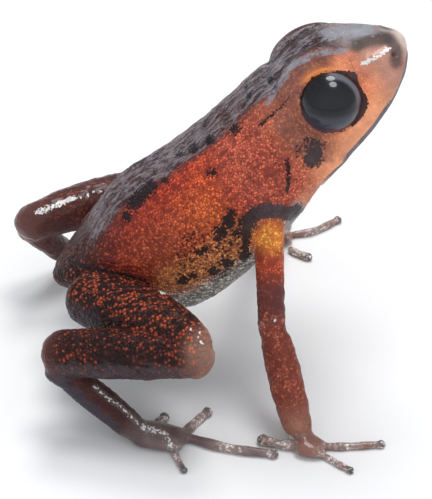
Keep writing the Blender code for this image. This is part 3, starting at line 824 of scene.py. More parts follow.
# %% Sculpt the head's small features
MOUTH_FORWARD = (-0.22, -0.14, 0.02, 0.12, 0.20)
MOUTH_HEIGHT = (-0.133, -0.124, -0.127, -0.115, -0.088)
MOUTH_CORNER = (-0.165, -0.135)
HEAD_START = -0.24
NOSTRIL = (0.952, 2.0)
EARDRUM = (0.262, 12.0)
EARDRUM_RADIUS, EARDRUM_SINK = 0.0180, 0.0014
EYE_FOLD = ((0.40, 62), (0.32, 56), (0.24, 47), (0.16, 30))
SNOUT_RIDGE = ((0.690, -0.100, 0.798), (0.713, -0.086, 0.810), (0.745, -0.072, 0.821),
               (0.776, -0.056, 0.829))
SNOUT_HOLLOW = ((0.715, -0.118, 0.775), (0.735, -0.108, 0.787), (0.755, -0.095, 0.796))
# A profile lists bell curves: the height, the distance of its middle, and the width.
MOUTH_ROLLS = (-0.0058, 0.0, 0.0040), (0.0016, 0.0110, 0.0060), (0.0016, -0.0100, 0.0055)
NOSTRIL_RING = (-0.0080, 0.0, 0.0050), (0.0018, 0.0105, 0.0040)
EARDRUM_RING = ((0.0016, 0.0200, 0.0040),)
FOLD_ROLLS = (-0.0030, 0.0, 0.0045), (0.0022, 0.010, 0.0060)
RIDGE_ROLL, HOLLOW_ROLL = ((0.0050, 0.0, 0.0120),), ((-0.0045, 0.0, 0.0200),)
# The snout's tip swells and the top of the snout sinks: height, place in the head, radius.
SWELLS = (0.0030, (0.150, 0.0, 0.050), 0.095), (-0.0040, (0.075, 0.030, 0.085), 0.045)


def vertex_normals(mesh, points):
    """Each point's normal, read from the mesh after its points are put back."""
    write_points(mesh, points)
    return read_rows(mesh.vertex_normals, "vector").astype(float)


def nearest(points, line):
    """Each point's distance to the nearest of a line's closely spaced places, and which."""
    best = np.full(len(points), 1e9)
    which = np.zeros(len(points), int)
    for index, place in enumerate(np.asarray(line)):
        away = ((points - place) ** 2).sum(axis=1)
        closer = away < best
        best[closer] = away[closer]
        which[closer] = index
    return np.sqrt(best), which


def line_distance(points, line):
    """Each point's distance to a line of closely spaced places, or to a single one."""
    return nearest(points, line)[0]


def fine_line(places, count=40):
    """A smooth curve through a few places, cut into many."""
    places = np.asarray(places, float)
    return smooth_curve(np.linspace(0, 1, len(places)), places, np.linspace(0, 1, count))


def rolls(distance, profile):
    """A sum of bell curves, height times e to the minus ((distance - middle) / width) squared."""
    return sum(height * np.exp(-((distance - middle) / width) ** 2)
               for height, middle, width in profile)


def on_head(sign, at, degrees):
    """A place on the side of the head, its angle measured up from the mouth line."""
    angle = math.radians(degrees if sign > 0 else 180 - degrees)
    return head(np.array([at]), [angle])[0, 0]


def above_mouth(local, normals):
    """Distance along the skin to the mouth's sheet: height over it by the skin's steepness."""
    height = local[:, 2] - np.interp(local[:, 0], MOUTH_FORWARD, MOUTH_HEIGHT)
    return height / np.sqrt(np.clip(1 - (normals @ HEAD_UP) ** 2, 0.04, 1))


in_front = (points - HEAD_CENTRE) @ HEAD_FORWARD > HEAD_START
head_points = points[in_front]
head_local = (head_points - HEAD_CENTRE) @ HEAD_AXES
over = above_mouth(head_local, vertex_normals(mesh, points)[in_front])
dip = rolls(over, MOUTH_ROLLS) * fade(head_local[:, 0], *MOUTH_CORNER)
for sign in SIDES.values():
    mirror = np.array([1.0, -sign, 1.0])
    nostril, drum = [on_head(sign, *NOSTRIL)], [on_head(sign, *EARDRUM)]
    fold = fine_line([on_head(sign, *place) for place in EYE_FOLD])
    for line, profile in ((nostril, NOSTRIL_RING), (drum, EARDRUM_RING), (fold, FOLD_ROLLS),
                          (fine_line(SNOUT_RIDGE) * mirror, RIDGE_ROLL),
                          (fine_line(SNOUT_HOLLOW) * mirror, HOLLOW_ROLL)):
        dip += rolls(line_distance(head_points, line), profile)
    dip -= EARDRUM_SINK * (line_distance(head_points, drum) < EARDRUM_RADIUS)
for lift, place, radius in SWELLS:
    dip += lift * near(head_points, in_head(*place), radius)
push = np.zeros(len(points))
push[in_front] = dip
points = points + push[:, None] * vertex_normals(mesh, points)
print("deepest dip", round(-push.min() * SVL * 1000, 3), "mm")

# %% [markdown]
# ## Uneven flesh
#
# Real skin is never as even as a formula. Smooth random fields, the finest of them only on
# the body, lift and sink it by a few hundredths of a millimetre. A field is made from
# random heights on a cubic lattice, blended between the eight corners of each cell.

# %% Random lumps
lattice_random = np.random.default_rng(2014)
LATTICE_ORDER = lattice_random.permutation(256)
LATTICE_HEIGHT = lattice_random.uniform(-1, 1, 256)
BROAD_LUMPS, MIDDLE_LUMPS, FINE_LUMPS = (0.0030, 0.060), (0.0016, 0.022), (0.0012, 0.0085)
FACE_SHARE = 0.25
FACE = (0.04, -0.21)
OFF_FLOOR = (0.02, 0.08)
EYE_CLEARANCE = 0.13


def lumps(points, lift, size):
    """Random lattice heights times a lift, blended by the smooth step inside a cell."""
    cells = np.floor(points / size).astype(int)
    t = smooth_step(points / size - cells)
    total = np.zeros(len(points))
    for corner in np.ndindex(2, 2, 2):
        x, y, z = (cells + np.array(corner)).T
        order = LATTICE_ORDER[(LATTICE_ORDER[(LATTICE_ORDER[x & 255] + y) & 255] + z) & 255]
        weight = np.prod(np.where(np.array(corner) == 1, t, 1 - t), axis=1)
        total += weight * LATTICE_HEIGHT[order]
    return lift * total


eye_clear = np.ones(len(points))
for sign in SIDES.values():
    eye_clear *= 1 - near(points, eye_place(sign), EYE_CLEARANCE)
off_floor = fade(points[:, 2], *OFF_FLOOR)
behind_face = fade((points - HEAD_CENTRE) @ HEAD_FORWARD, *FACE)
uneven = lumps(points, *BROAD_LUMPS) + lumps(points, *MIDDLE_LUMPS)
uneven = uneven * (FACE_SHARE + (1 - FACE_SHARE) * behind_face)
uneven += lumps(points, *FINE_LUMPS) * behind_face
points = points + (uneven * eye_clear * off_floor)[:, None] * vertex_normals(mesh, points)
points = taubin(points, edges, rounds=1)
points[:, 2] = np.maximum(points[:, 2], 0.0)
write_points(mesh, points)
print("lump heights in mm:", (np.array([uneven.min(), uneven.max()]) * SVL * 1000).round(3))

# %% [markdown]
# ## Thinning the mesh
#
# The remesh spends as many faces on the smooth belly as on the toes. Collapsing edges
# where the surface is flattest brings the skin under its limit and keeps the small faces
# where lids, nostrils and toe discs need them. The skin then moves from shares of the SVL
# to metres in the frame, and stands for the plain flesh.

# %% Decimate
SKIN_FACES = 190000
triangles = sum(len(polygon.vertices) - 2 for polygon in mesh.polygons)
thin = skin.modifiers.new("thin_out", "DECIMATE")
thin.ratio = min(1.0, SKIN_FACES / triangles)
mesh, points = baked(skin)
print("skin faces:", triangles, "thinned to", len(mesh.polygons))

# %% Put the skin in its place
write_points(mesh, to_frame(points))
mesh.shade_smooth()
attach(skin, "root")
LIMB_NODES = ("thigh", "shank", "tarsus", "foot", "upper_arm", "forearm", "hand")
FLESH_NODES = ["torso", "head"] + [part + "_" + side for side in SIDES for part in LIMB_NODES]
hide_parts(*FLESH_NODES)

# %% [markdown]
# ## Which part of the body a point belongs to
#
# Each part has its own colours, so every skin point needs to know where it is. A form can
# tell how far out a point lies, as a share of the form's own half sizes: 1 is on its
# surface. A point of the fused skin lies on the one form that gives the lowest share. The
# shares are turned into weights that fade from part to part over a short stretch.

# %% Shares and weights
BLEND = 0.06
PAD_RADIUS = 0.034
DIGIT_RADIUS = 0.012


def place_on(shape, points, stations):
    """Share of the half sizes, place along and sine round, from the nearest station."""
    at = np.linspace(0, 1, stations)
    centre, tangent, sideways, upward, sizes = shape.frame(at)
    _, which = nearest(points, centre)
    offset = points - centre[which]
    across = (offset * sideways[which]).sum(axis=1) / sizes[0][which]
    height = (offset * upward[which]).sum(axis=1)
    height = height / np.where(height > 0, sizes[1][which], sizes[2][which])
    beyond = (offset * tangent[which]).sum(axis=1)
    ahead = beyond / sizes[0][which]
    share = (np.abs(across) ** shape.power + np.abs(height) ** shape.power
             + np.abs(ahead) ** shape.power) ** (1 / shape.power)
    spacing = np.linalg.norm(np.gradient(centre, axis=0), axis=1)[which]
    along = np.clip(at[which] + beyond / spacing / (stations - 1), 0, 1)
    return share, along, np.sin(np.arctan2(height, across))


placed = {"trunk": place_on(trunk, points, 60), "head": place_on(head, points, 60)}
placed.update({name: place_on(limb, points, 40) for name, limb in limbs.items()})
shares = {name: value[0] for name, value in placed.items()}
for sign in SIDES.values():
    share = np.linalg.norm((points - brow_place(sign)) @ HEAD_AXES / BROW_RADII, axis=1)
    shares["head"] = np.minimum(shares["head"], share)
for name, pad, digits, _, _ in PAWS:
    shares[name] = line_distance(points, fine_line(pad, 12)) / PAD_RADIUS
    for places in digits:
        toe_line = fine_line([(x, y, TOE_RADIUS) for x, y in places], 24)
        shares[name] = np.minimum(shares[name], line_distance(points, toe_line) / DIGIT_RADIUS)
weights = {name: np.exp(-(share - 1) / BLEND) for name, share in shares.items()}
total_weight = sum(weights.values())
weights = {name: weight / total_weight for name, weight in weights.items()}
print("points on each part:", {name: int((weight > 0.5).sum()) for name, weight in weights.items()})

# %% [markdown]
# ## Colours of the parts
#
# The skin has two layers of colour: a dark ground, and brighter granules that sit on it.
# A coat is a ground colour, a granule colour and the share of the ground that the granules
# cover. Coats are laid over one another as soft numbers at the points. The grain itself is
# not painted here: the material breaks it up by the cover. Marks are laid along lines. How
# far a mark lies from the camera is known less well than where the camera sees it, so depth
# counts for less in the distance to a line.

# %% Laying coats
DEPTH_SHARE = 0.3
from_right = points * np.where(points[:, 1:2] < 0, 1.0, [1.0, -1.0, 1.0])
on_left = (points[:, 1] > 0).astype(float)
x, y, z = from_right.T
slant = x + 0.6 * z
facing_up = vertex_normals(mesh, to_frame(points))[:, 2]
trunk_height, head_up = placed["trunk"][2], placed["head"][2]
ground = np.zeros((len(points), 3))
granule = np.zeros((len(points), 3))
cover = np.zeros(len(points))


def lay(weight, coat):
    """Mix a coat into the stored colours and cover by a weight at each point."""
    weight = np.clip(weight, 0, 1)
    ground_colour, granule_colour, share = coat
    ground[:] += weight[:, None] * (np.array(ground_colour) - ground)
    granule[:] += weight[:, None] * (np.array(granule_colour) - granule)
    if share is not None:
        cover[:] += weight * (share - cover)


def even(colour, share=None):
    """A coat whose granules have the ground's colour. Without a share the cover stays."""
    return colour, colour, share


def squashed(places):
    """Places with their depth along the line of sight cut to a fraction."""
    return places - (1 - DEPTH_SHARE) * (places @ BACKWARD)[:, None] * BACKWARD


def mark_distance(points, places, count):
    """Squashed distance to a smooth line through the places, or to a single place."""
    places = np.atleast_2d(np.asarray(places, float))
    line = fine_line(places, count) if len(places) > 1 else places
    return line_distance(squashed(points), squashed(line))


def soft_line(points, places, width):
    """1 along a smooth line through the places, falling to 0 at one and a half widths."""
    return fade(mark_distance(points, places, 40), 1.5 * width, 0.5 * width)


# %% Trunk colours
RED = (0.215, 0.022, 0.015), (0.640, 0.082, 0.035), 0.62
UPPER = (0.300, 0.038, 0.018), (0.900, 0.130, 0.044), 0.66
REAR = (0.040, 0.012, 0.010), (0.340, 0.074, 0.036), 0.45
YELLOW = (0.360, 0.066, 0.024), (1.000, 0.240, 0.058), 0.62
WARM = (0.260, 0.052, 0.026), (0.780, 0.180, 0.078), 0.60
OCHRE = (0.360, 0.110, 0.046), (1.000, 0.420, 0.135), 0.62
SHOULDER = (0.270, 0.052, 0.037), (0.840, 0.180, 0.095), 0.68
BACK = (0.045, 0.020, 0.021), (0.130, 0.062, 0.062), 0.45
BELLY = (0.170, 0.155, 0.150), (1.000, 0.960, 0.820), 0.55
CHEST = even((0.270, 0.245, 0.250), 0.30)
OCHRE_LINE = ((0.270, -0.165, 0.300), (0.340, -0.185, 0.350), (0.415, -0.195, 0.425))
CHEST_LINE = ((0.556, -0.150, 0.478), (0.548, -0.156, 0.440), (0.530, -0.160, 0.400))
BAND_CENTRE = 0.047
BAND_EDGE = (0.132, 0.090)

# A coat is strongest near a place or along a line, or fades in between two limits.
lay(np.ones(len(points)), RED)
lay(near(from_right, (0.350, -0.130, 0.560), 0.13), UPPER)
lay(0.8 * near(from_right, (0.340, -0.172, 0.475), 0.13), YELLOW)
lay(near(from_right, (0.390, -0.185, 0.420), 0.12), YELLOW)
lay(fade(slant, 0.66, 0.80), SHOULDER)
lay(0.8 * near(from_right, (0.240, -0.162, 0.385), 0.14), WARM)
lay(fade(x, 0.20, 0.05), REAR)
lay(0.9 * soft_line(from_right, OCHRE_LINE, 0.050) * weights["trunk"], OCHRE)
lay(fade(-trunk_height, 0.36, 0.62) * fade(slant, 0.850, 0.820), BELLY)
crest = fade(np.abs(points[:, 1] - BAND_CENTRE), *BAND_EDGE) * fade(trunk_height, 0.15, 0.45)
band = crest * weights["trunk"] * fade(points[:, 0], 0.030, 0.110)
lay(band, BACK)
lay(soft_line(from_right, CHEST_LINE, 0.020), CHEST)

# %% Head colours
CHEEK = (0.930, 0.310, 0.145), (1.000, 0.410, 0.190), 0.50
JAW = (0.820, 0.345, 0.190), CHEEK[1], 0.40
THROAT = *JAW[:2], 0.50
SNOUT_SIDE, SNOUT_TIP = even((0.480, 0.238, 0.178), 0.40), even((0.620, 0.510, 0.470), 0.30)
TEMPLE = (0.110, 0.028, 0.024), (0.360, 0.085, 0.065), 0.60
BROW = (0.190, 0.065, 0.052), (0.400, 0.130, 0.088), 0.45
CROWN = (0.040, 0.022, 0.023), (0.150, 0.075, 0.070), 0.35
FAR_BROW = (0.060, 0.034, 0.033), (0.170, 0.070, 0.058), 0.40
MAUVE = (0.260, 0.200, 0.200), CROWN[1], 0.30
CHIN = (0.450, 0.270, 0.210), (0.620, 0.400, 0.310), 0.40
LOWER_JAW = (0.190, 0.180, 0.200), CHEST[1], 0.30
SNOUT_TOP_DARK, NOSTRIL_SHADE = even((0.060, 0.050, 0.042)), even((0.060, 0.046, 0.048))
EYE_RING = (0.230, 0.080, 0.060), (0.420, 0.150, 0.100), 0.45
# Painted light: a bright yellow-orange for the top of each lid rim.
LIT_LID_RIM_PAINT = even((0.700, 0.230, 0.070))
SNOUT_TOP_DARK_LINE = ((0.703, -0.048, 0.840), (0.730, -0.037, 0.842), (0.774, -0.027, 0.840))
NOSTRIL_LINE = ((0.780, -0.025, 0.840), (0.787, -0.040, 0.835), (0.793, -0.056, 0.821),
                (0.789, -0.078, 0.806))
RING_REACH, RIM_REACH = EYE_RADIUS * EYE_SURROUND, EYE_RADIUS * 1.5

forward, leftward, height = ((points - HEAD_CENTRE) @ HEAD_AXES).T
across_head = np.abs(leftward)
on_head_skin = weights["head"] * fade(forward, -0.20, -0.10)
lay(on_head_skin, CHEEK)
lay(on_head_skin * fade(forward, -0.04, -0.13) * fade(height, -0.095, -0.02), TEMPLE)
lay(on_head_skin * fade(height, -0.062, -0.098), JAW)
lay(fade(-trunk_height, 0.30, 0.60) * fade(slant, 0.845, 0.865) * weights["trunk"], THROAT)
lay(on_head_skin * fade(forward, 0.060, 0.130), SNOUT_SIDE)
lay(on_head_skin * fade(height, 0.040, 0.066) * fade(forward, 0.17, 0.09), BROW)
crown = fade(head_up, 0.50, 0.72) * fade(across_head + 0.30 * np.abs(forward), 0.118, 0.085)
crown = crown * np.clip(5 * weights["head"], 0, 1) * fade(forward, -0.30, -0.22)
lay(crown, CROWN)
lay(on_head_skin * fade(leftward, 0.012, 0.030) * fade(height, 0.035, 0.060), FAR_BROW)
snout_top = on_head_skin * fade(forward, 0.060, 0.110) * fade(head_up, 0.60, 0.80)
lay(snout_top * fade(across_head + 0.42 * (forward - 0.12), 0.068, 0.050), MAUVE)
lay(on_head_skin * fade(forward, 0.165, 0.200), SNOUT_TIP)
mouth_height = height - np.interp(forward, MOUTH_FORWARD, MOUTH_HEIGHT)
lower_jaw = on_head_skin * fade(mouth_height, 0.007, -0.001)
lay(lower_jaw, CHIN)
lay(lower_jaw * fade(mouth_height, -0.055, -0.020), LOWER_JAW)
# Darker along the top of the snout.
lay(0.85 * soft_line(from_right, SNOUT_TOP_DARK_LINE, 0.0150), SNOUT_TOP_DARK)
lay(0.85 * soft_line(from_right, NOSTRIL_LINE, 0.0155), NOSTRIL_SHADE)
for sign in SIDES.values():
    distance, _, past, above, ahead = around_eye(points, sign)
    ring = (distance < RING_REACH) * fade(past, 0.36, 0.16)
    lay(0.85 * ring * np.clip(0.6 + above - 0.9 * ahead, 0, 1), EYE_RING)
    # Painted light: the top of each lid rim is laid a bright yellow-orange where it faces the lamps
    # overhead.
    rim = (distance < RIM_REACH) * fade(past, 0.10, 0.02)
    lay(rim * fade(0.42 * ahead + 0.91 * above, 0.76, 0.96), LIT_LID_RIM_PAINT)

# %% Limb colours
THIGH = (0.020, 0.007, 0.007), (0.560, 0.100, 0.036), 0.36
THIGH_TOP = *THIGH[:2], 0.56
SHANK = THIGH[0], (0.440, 0.075, 0.030), 0.34
# A painted reflection of the pale floor: a lavender grey laid on the legs' faces that turn down and
# sideways.
LEG_UNDER_REFLECTION, LAVENDER_REFLECTION = ((0.060, 0.042, 0.049), SHANK[1], 0.08), even((0.062, 0.047, 0.062), 0.10)
HEEL, FAR_HEEL = even((0.120, 0.036, 0.028), 0.10), even((0.120, 0.040, 0.034), 0.10)
FAR_LEG = (0.085, 0.024, 0.020), REAR[1], 0.12
KNEE = (0.280, 0.138, 0.100), (0.520, 0.170, 0.075), 0.45
KNEE_CAP = even(KNEE[0], 0.12)
TARSUS = (0.072, 0.026, 0.024), HEEL[1], 0.20
ANKLE, FOOT = even((0.150, 0.095, 0.095), 0.15), even((0.150, 0.095, 0.095), 0.10)
HAND = even((0.235, 0.098, 0.070), 0.10)
ARM_PATCH = (0.680, 0.175, 0.038), (1.000, 0.520, 0.090), 0.72
ARM_RED = (0.300, 0.048, 0.025), (0.740, 0.130, 0.052), 0.62
FOREARM = (0.200, 0.044, 0.029), (0.520, 0.140, 0.078), 0.42
ARM_MAROON, WRIST = ((0.150, 0.040, 0.036), FOREARM[1], 0.22), even((0.330, 0.145, 0.100), 0.20)
TOE = (0.270, 0.190, 0.170), (0.840, 0.770, 0.730), 0.66
DISC = (0.090, 0.080, 0.080), TOE[1], 0.35
# Painted sheen: pale greys laid along the top of the tarsus and over the foot where the wet skin
# shines.
TARSUS_SHEEN_PAINT = even((0.240, 0.205, 0.205))
FOOT_SHEEN_PAINT = TARSUS_SHEEN_PAINT[0], TOE[1], 0.25
TARSUS_LINE = ((0.060, -0.323, 0.145), (0.084, -0.334, 0.124), (0.110, -0.344, 0.103),
               (0.132, -0.354, 0.085), (0.151, -0.364, 0.065))
FOOT_LINE = ((0.165, -0.368, 0.052), (0.184, -0.376, 0.047), (0.207, -0.384, 0.042),
             (0.218, -0.402, 0.034), (0.225, -0.422, 0.029))

for side, leg in LEGS.items():
    thigh, shank, tarsus, upper_arm, forearm = (weights[part + side] for part in (
        "thigh_", "shank_", "tarsus_", "upper_arm_", "forearm_"))
    lay(thigh, THIGH)
    lay(thigh * fade(facing_up, 0.15, 0.60), THIGH_TOP)
    # Painted floor reflection on the downward faces of thigh and shank, the lower side of the hip
    # and the underside of the tarsus.
    lay(thigh * fade(facing_up, 0.15, -0.45), LEG_UNDER_REFLECTION)
    hip_side = near(points, between(leg["hip"], leg["knee"], 0.20), 0.16)
    lay(thigh * hip_side * fade(facing_up, 0.55, 0.05), LAVENDER_REFLECTION)
    lay(shank, SHANK)
    lay(shank * fade(facing_up, 0.25, -0.10), LEG_UNDER_REFLECTION)
    lay(shank * fade(placed["shank_" + side][1], 0.82, 0.97), HEEL)
    knee = near(points, between(leg["knee"], leg["shank_top"], 0.5), 0.095)
    lay((shank + thigh) * fade(knee, 0.0, 0.45) * 0.7, KNEE)
    lay((shank + thigh) * fade(knee, 0.45, 0.95), KNEE_CAP)
    lay(tarsus, TARSUS)
    lay(tarsus * fade(facing_up, 0.35, 0.0), LAVENDER_REFLECTION)
    lay(tarsus * fade(placed["tarsus_" + side][1], 0.75, 1.0), ANKLE)
    lay(upper_arm, ARM_RED)
    lay(upper_arm * fade(placed["upper_arm_" + side][1], 0.42, 0.62), ARM_MAROON)
    lay(forearm, FOREARM)
    lay(forearm * fade(placed["forearm_" + side][1], 0.60, 0.95), WRIST)
    lay(weights["foot_" + side], FOOT)
    lay(weights["hand_" + side], HAND)
lay(near(from_right, (0.485, -0.195, 0.435), 0.060) * 1.5, ARM_PATCH)
far_leg = weights["thigh_left"] + weights["shank_left"] + weights["tarsus_left"]
lay(far_leg * 0.85, FAR_LEG)
lay(far_leg * near(points, LEGS["left"]["heel"], 0.14), FAR_HEEL)
low = fade(points[:, 2], 0.050, 0.030)
for _, _, digits, _, _ in PAWS:
    for places in digits:
        tip, middle = (*places[-1], TOE_RADIUS), (*places[1], TOE_RADIUS)
        lay(np.maximum(near(points, middle, 0.075), near(points, tip, 0.060)) * low, TOE)
        lay(near(points, tip, 0.030) * 1.4, DISC)
# Painted sheen along the tarsus and over the foot.
lay(0.45 * soft_line(points, TARSUS_LINE, 0.0070), TARSUS_SHEEN_PAINT)
lay(0.55 * soft_line(points, FOOT_LINE, 0.0090), FOOT_SHEEN_PAINT)
print("mean ground colour:", ground.mean(axis=0).round(3))

# %% [markdown]
# ## Dark blotches and painted shade
#
# Blotches are given as short lines and spots at places on the frog's right side, with a width. The
# stored number is a half at the blotch's edge and rises inwards, and the material adds grain to it
# before it decides, so that the edges come out ragged. The band over the arm and the comma behind
# the eye are smoother and greyer. The left side carries the same blotches, moved a little, since no
# frog's two sides are alike. The same number also carries painted shade: a dark line in the crease
# where each thigh meets the trunk, and the skin tucked in under each eyeball.

# %% Markings as soft numbers
def blotch(points, places, width):
    """1 minus the distance over twice the width: a half at the edge, 0 at two widths."""
    return np.clip(1 - mark_distance(points, places, 24) / (2 * width), 0, 1)


SPOTS = (
    ((0.359, -0.127, 0.578), 0.0110), ((0.396, -0.191, 0.506), 0.0100),
    ((0.386, -0.196, 0.484), 0.0180), ((0.372, -0.195, 0.460), 0.0190),
    ((0.405, -0.196, 0.452), 0.0120), ((0.366, -0.195, 0.440), 0.0100),
    ((0.386, -0.189, 0.368), 0.0170), ((0.358, -0.185, 0.345), 0.0160),
    ((0.318, -0.187, 0.404), 0.0090), ((0.334, -0.191, 0.413), 0.0090),
    ((0.285, -0.168, 0.318), 0.0140), ((0.308, -0.172, 0.330), 0.0100),
    ((0.300, -0.014, 0.563), 0.0080), ((0.330, -0.033, 0.588), 0.0110),
    ((0.365, -0.046, 0.617), 0.0120), ((0.420, -0.074, 0.658), 0.0130),
    ((0.460, -0.021, 0.711), 0.0070), ((0.508, -0.022, 0.750), 0.0080),
    ((0.166, -0.089, 0.452), 0.0120), ((0.258, -0.065, 0.528), 0.0090),
)
LINES = (
    (((0.428, -0.196, 0.466), (0.442, -0.194, 0.494), (0.465, -0.192, 0.505),
      (0.496, -0.190, 0.500), (0.520, -0.183, 0.488), (0.552, -0.168, 0.480)), 0.0190),
    (((0.430, -0.196, 0.460), (0.428, -0.193, 0.410), (0.424, -0.188, 0.375)), 0.0110),
    (((0.556, -0.165, 0.657), (0.570, -0.162, 0.670), (0.586, -0.161, 0.665),
      (0.598, -0.166, 0.646)), 0.0080),
    (((0.597, -0.168, 0.648), (0.593, -0.170, 0.634), (0.582, -0.172, 0.622)), 0.0195),
    (((0.525, -0.171, 0.626), (0.529, -0.178, 0.588), (0.524, -0.185, 0.548)), 0.0044),
    (((0.547, -0.122, 0.775), (0.529, -0.110, 0.741), (0.508, -0.110, 0.718),
      (0.488, -0.110, 0.701), (0.472, -0.108, 0.682)), 0.0036),
    (((0.224, -0.063, 0.508), (0.202, -0.069, 0.492), (0.182, -0.074, 0.475)), 0.0170),
)
mark_random = np.random.default_rng(7)
SIDE_SHIFT = 0.025
MOTTLED = 0.40

dark = np.zeros(len(points))
for places, width in SPOTS + LINES:
    moved = np.array([1.0, 0.0, 1.0]) * mark_random.uniform(-SIDE_SHIFT, SIDE_SHIFT, 3)
    dark = np.maximum(dark, blotch(from_right - on_left[:, None] * moved, places, width))
for side in SIDES:
    thigh = weights["thigh_" + side]
    dark = dark * (1 - thigh) * (1 - 0.9 * weights["upper_arm_" + side])
    # Painted shade: a dark line in the crease where the thigh meets the trunk.
    dark = np.maximum(dark, 0.75 * fade(4 * thigh * weights["trunk"], 0.45, 0.90))
mottled = np.minimum(near(from_right, (0.350, -0.185, 0.385), 0.15) * 0.80, MOTTLED)
dark = highest((dark, mottled * weights["trunk"],
                0.36 * near(from_right, (0.552, -0.166, 0.640), 0.045),
                0.48 * near(from_right, (0.030, -0.030, 0.280), 0.11)))
# Round each eye the skin tucked in under the eyeball is darkened, a painted shade. A black mark
# widens from it towards the front and lower corner, with a spot in front of the eye.
for sign in SIDES.values():
    distance, _, past, above, ahead = around_eye(points, sign)
    close = (distance < RIM_REACH) * fade(past, 0.30, 0.24)
    reach = 0.17 * fade(0.86 * ahead - 0.51 * above, 0.25, 1.0) - 0.04
    dark = highest((dark, close * fade(past, reach + 0.04, reach - 0.02),
                    near(points, in_head(0.061, sign * 0.124, -0.022), 0.020)))
soft_mark = np.maximum(near(from_right, (0.592, -0.168, 0.635), 0.060),
                       near(from_right, (0.500, -0.185, 0.495), 0.110))
print("dark points:", int((dark > 0.5).sum()))

# %% [markdown]
# ## Painted sheen and highlights, wetness and grain
#
# Five more numbers and a colour finish the skin. A painted sheen, a silvery grey laid in streaks
# where the skin shines, lies along the back and runs up between the eyes, with a thinner streak
# over each brow. Gleams are painted highlights: white colour laid where the wet skin shines. The
# head, toes and knees are smooth and wet, the flanks and legs grainy, and the near leg has the
# coarsest grain.

# %% Painted sheen and highlights, wetness, coarseness and smoothness
# Lines of painted sheen over the near brow and the crown, and the greys that the painted sheen lays
# into the colour of body and head.
BROW_STREAK = ((0.495, -0.074, 0.722), (0.505, -0.073, 0.735), (0.534, -0.073, 0.790),
               (0.557, -0.072, 0.817), (0.579, -0.074, 0.833), (0.601, -0.079, 0.843),
               (0.636, -0.078, 0.847), (0.674, -0.062, 0.838))
CROWN_STREAK = ((0.496, 0.018, 0.738), (0.525, 0.010, 0.770), (0.558, 0.005, 0.804),
                (0.580, 0.000, 0.822), (0.606, -0.006, 0.838), (0.637, -0.010, 0.850),
                (0.670, -0.008, 0.854), (0.706, -0.003, 0.854), (0.738, 0.004, 0.852))
BODY_SHEEN_PAINT, HEAD_SHEEN_PAINT = np.array((0.240, 0.198, 0.215)), np.array((0.270, 0.265, 0.295))
# Painted highlights: white lines and spots laid into the colour where the wet skin shines, on the
# tarsus, foot, far leg, snout ridge, lid, crease, arm and knee. Each has a line or place, a width
# and a strength.
PAINTED_HIGHLIGHTS = (
    (TARSUS_LINE, 0.0050, 0.60), (FOOT_LINE, 0.0080, 0.62),
    (((-0.016, 0.255, 0.256), (0.017, 0.261, 0.261), (0.047, 0.269, 0.268),
      (0.079, 0.277, 0.274)), 0.0065, 0.9),
    (((0.709, -0.083, 0.812), (0.732, -0.077, 0.816), (0.759, -0.064, 0.824),
      (0.776, -0.053, 0.830)), 0.0048, 0.95),
    (((0.603, -0.126, 0.820), (0.617, -0.121, 0.827), (0.629, -0.118, 0.830)), 0.0050, 1.0),
    ((0.097, 0.279, 0.274), 0.0040, 1.0), ((0.112, 0.284, 0.278), 0.0040, 1.0),
    ((0.127, 0.288, 0.280), 0.0040, 1.0), ((0.142, 0.292, 0.282), 0.0040, 1.0),
    ((0.231, -0.228, 0.329), 0.0080, 1.0), ((0.484, -0.282, 0.262), 0.0042, 1.0),
    ((0.276, -0.380, 0.327), 0.0032, 1.0), ((0.295, -0.387, 0.321), 0.0032, 1.0),
    ((0.287, -0.398, 0.316), 0.0032, 1.0), ((0.295, -0.405, 0.306), 0.0040, 1.0),
)

right_of_crest = fade(leftward, 0.055, 0.035)
crown_streak = soft_line(points, CROWN_STREAK, 0.0170) * right_of_crest
# Where the painted sheen lies: the back's band, the streaks over the crown and the near brow, and
# the top of the head.
sheen = highest((0.50 * band, 0.95 * crown_streak * on_head_skin,
                 0.70 * soft_line(from_right, BROW_STREAK, 0.0090),
                 0.50 * crown * fade(forward, 0.02, -0.06) * right_of_crest,
                 0.22 * np.maximum(crown, snout_top)))
painted_sheen = BODY_SHEEN_PAINT + on_head_skin[:, None] * (HEAD_SHEEN_PAINT - BODY_SHEEN_PAINT)
painted_highlight = highest(strength * blotch(points, places, width) for places, width, strength in PAINTED_HIGHLIGHTS)
tips = sum(weights[name] for name, *_ in PAWS)
knees = sum(near(points, leg["knee"], 0.09) + near(points, leg["heel"], 0.08)
            for leg in LEGS.values())
ridges = sum(soft_line(points * (1.0, sign, 1.0), SNOUT_RIDGE, 0.012) for sign in (1.0, -1.0))
wet = tips * 0.7 + on_head_skin * 0.10 + ridges * 0.8 + knees * 0.4 + far_leg * 0.3
smooth_skin = tips + on_head_skin * 0.75 + 0.6 * knees + 0.6 * far_leg
rump = near(points, (0.035, -0.045, 0.300), 0.11)
coarse = (weights["thigh_right"] + weights["shank_right"] + rump
          + 0.5 * fade(x, 0.36, 0.16) * weights["trunk"])


def store(mesh, layers):
    """Numbers or colours at each point of a mesh, by name."""
    for name, values in layers.items():
        values = np.asarray(values, np.float32)
        kind, key = ("FLOAT", "value") if values.ndim == 1 else ("FLOAT_COLOR", "color")
        layer = mesh.attributes.new(name, kind, "POINT")
        if values.ndim == 2:
            values = np.concatenate([values, np.ones((len(values), 1), np.float32)], axis=1)
        layer.data.foreach_set(key, np.ascontiguousarray(values).ravel())


LAYERS = {"ground": ground, "granule": granule, "cover": cover, "dark": dark,
          "soft_mark": soft_mark, "sheen": sheen, "painted_sheen": painted_sheen, "painted_highlight": painted_highlight,
          "wet": np.clip(wet, 0, 1), "coarse": np.clip(coarse, 0, 1),
          "smoothness": np.clip(smooth_skin, 0, 1)}
store(mesh, LAYERS)
print("stored at the points:", ", ".join(LAYERS))

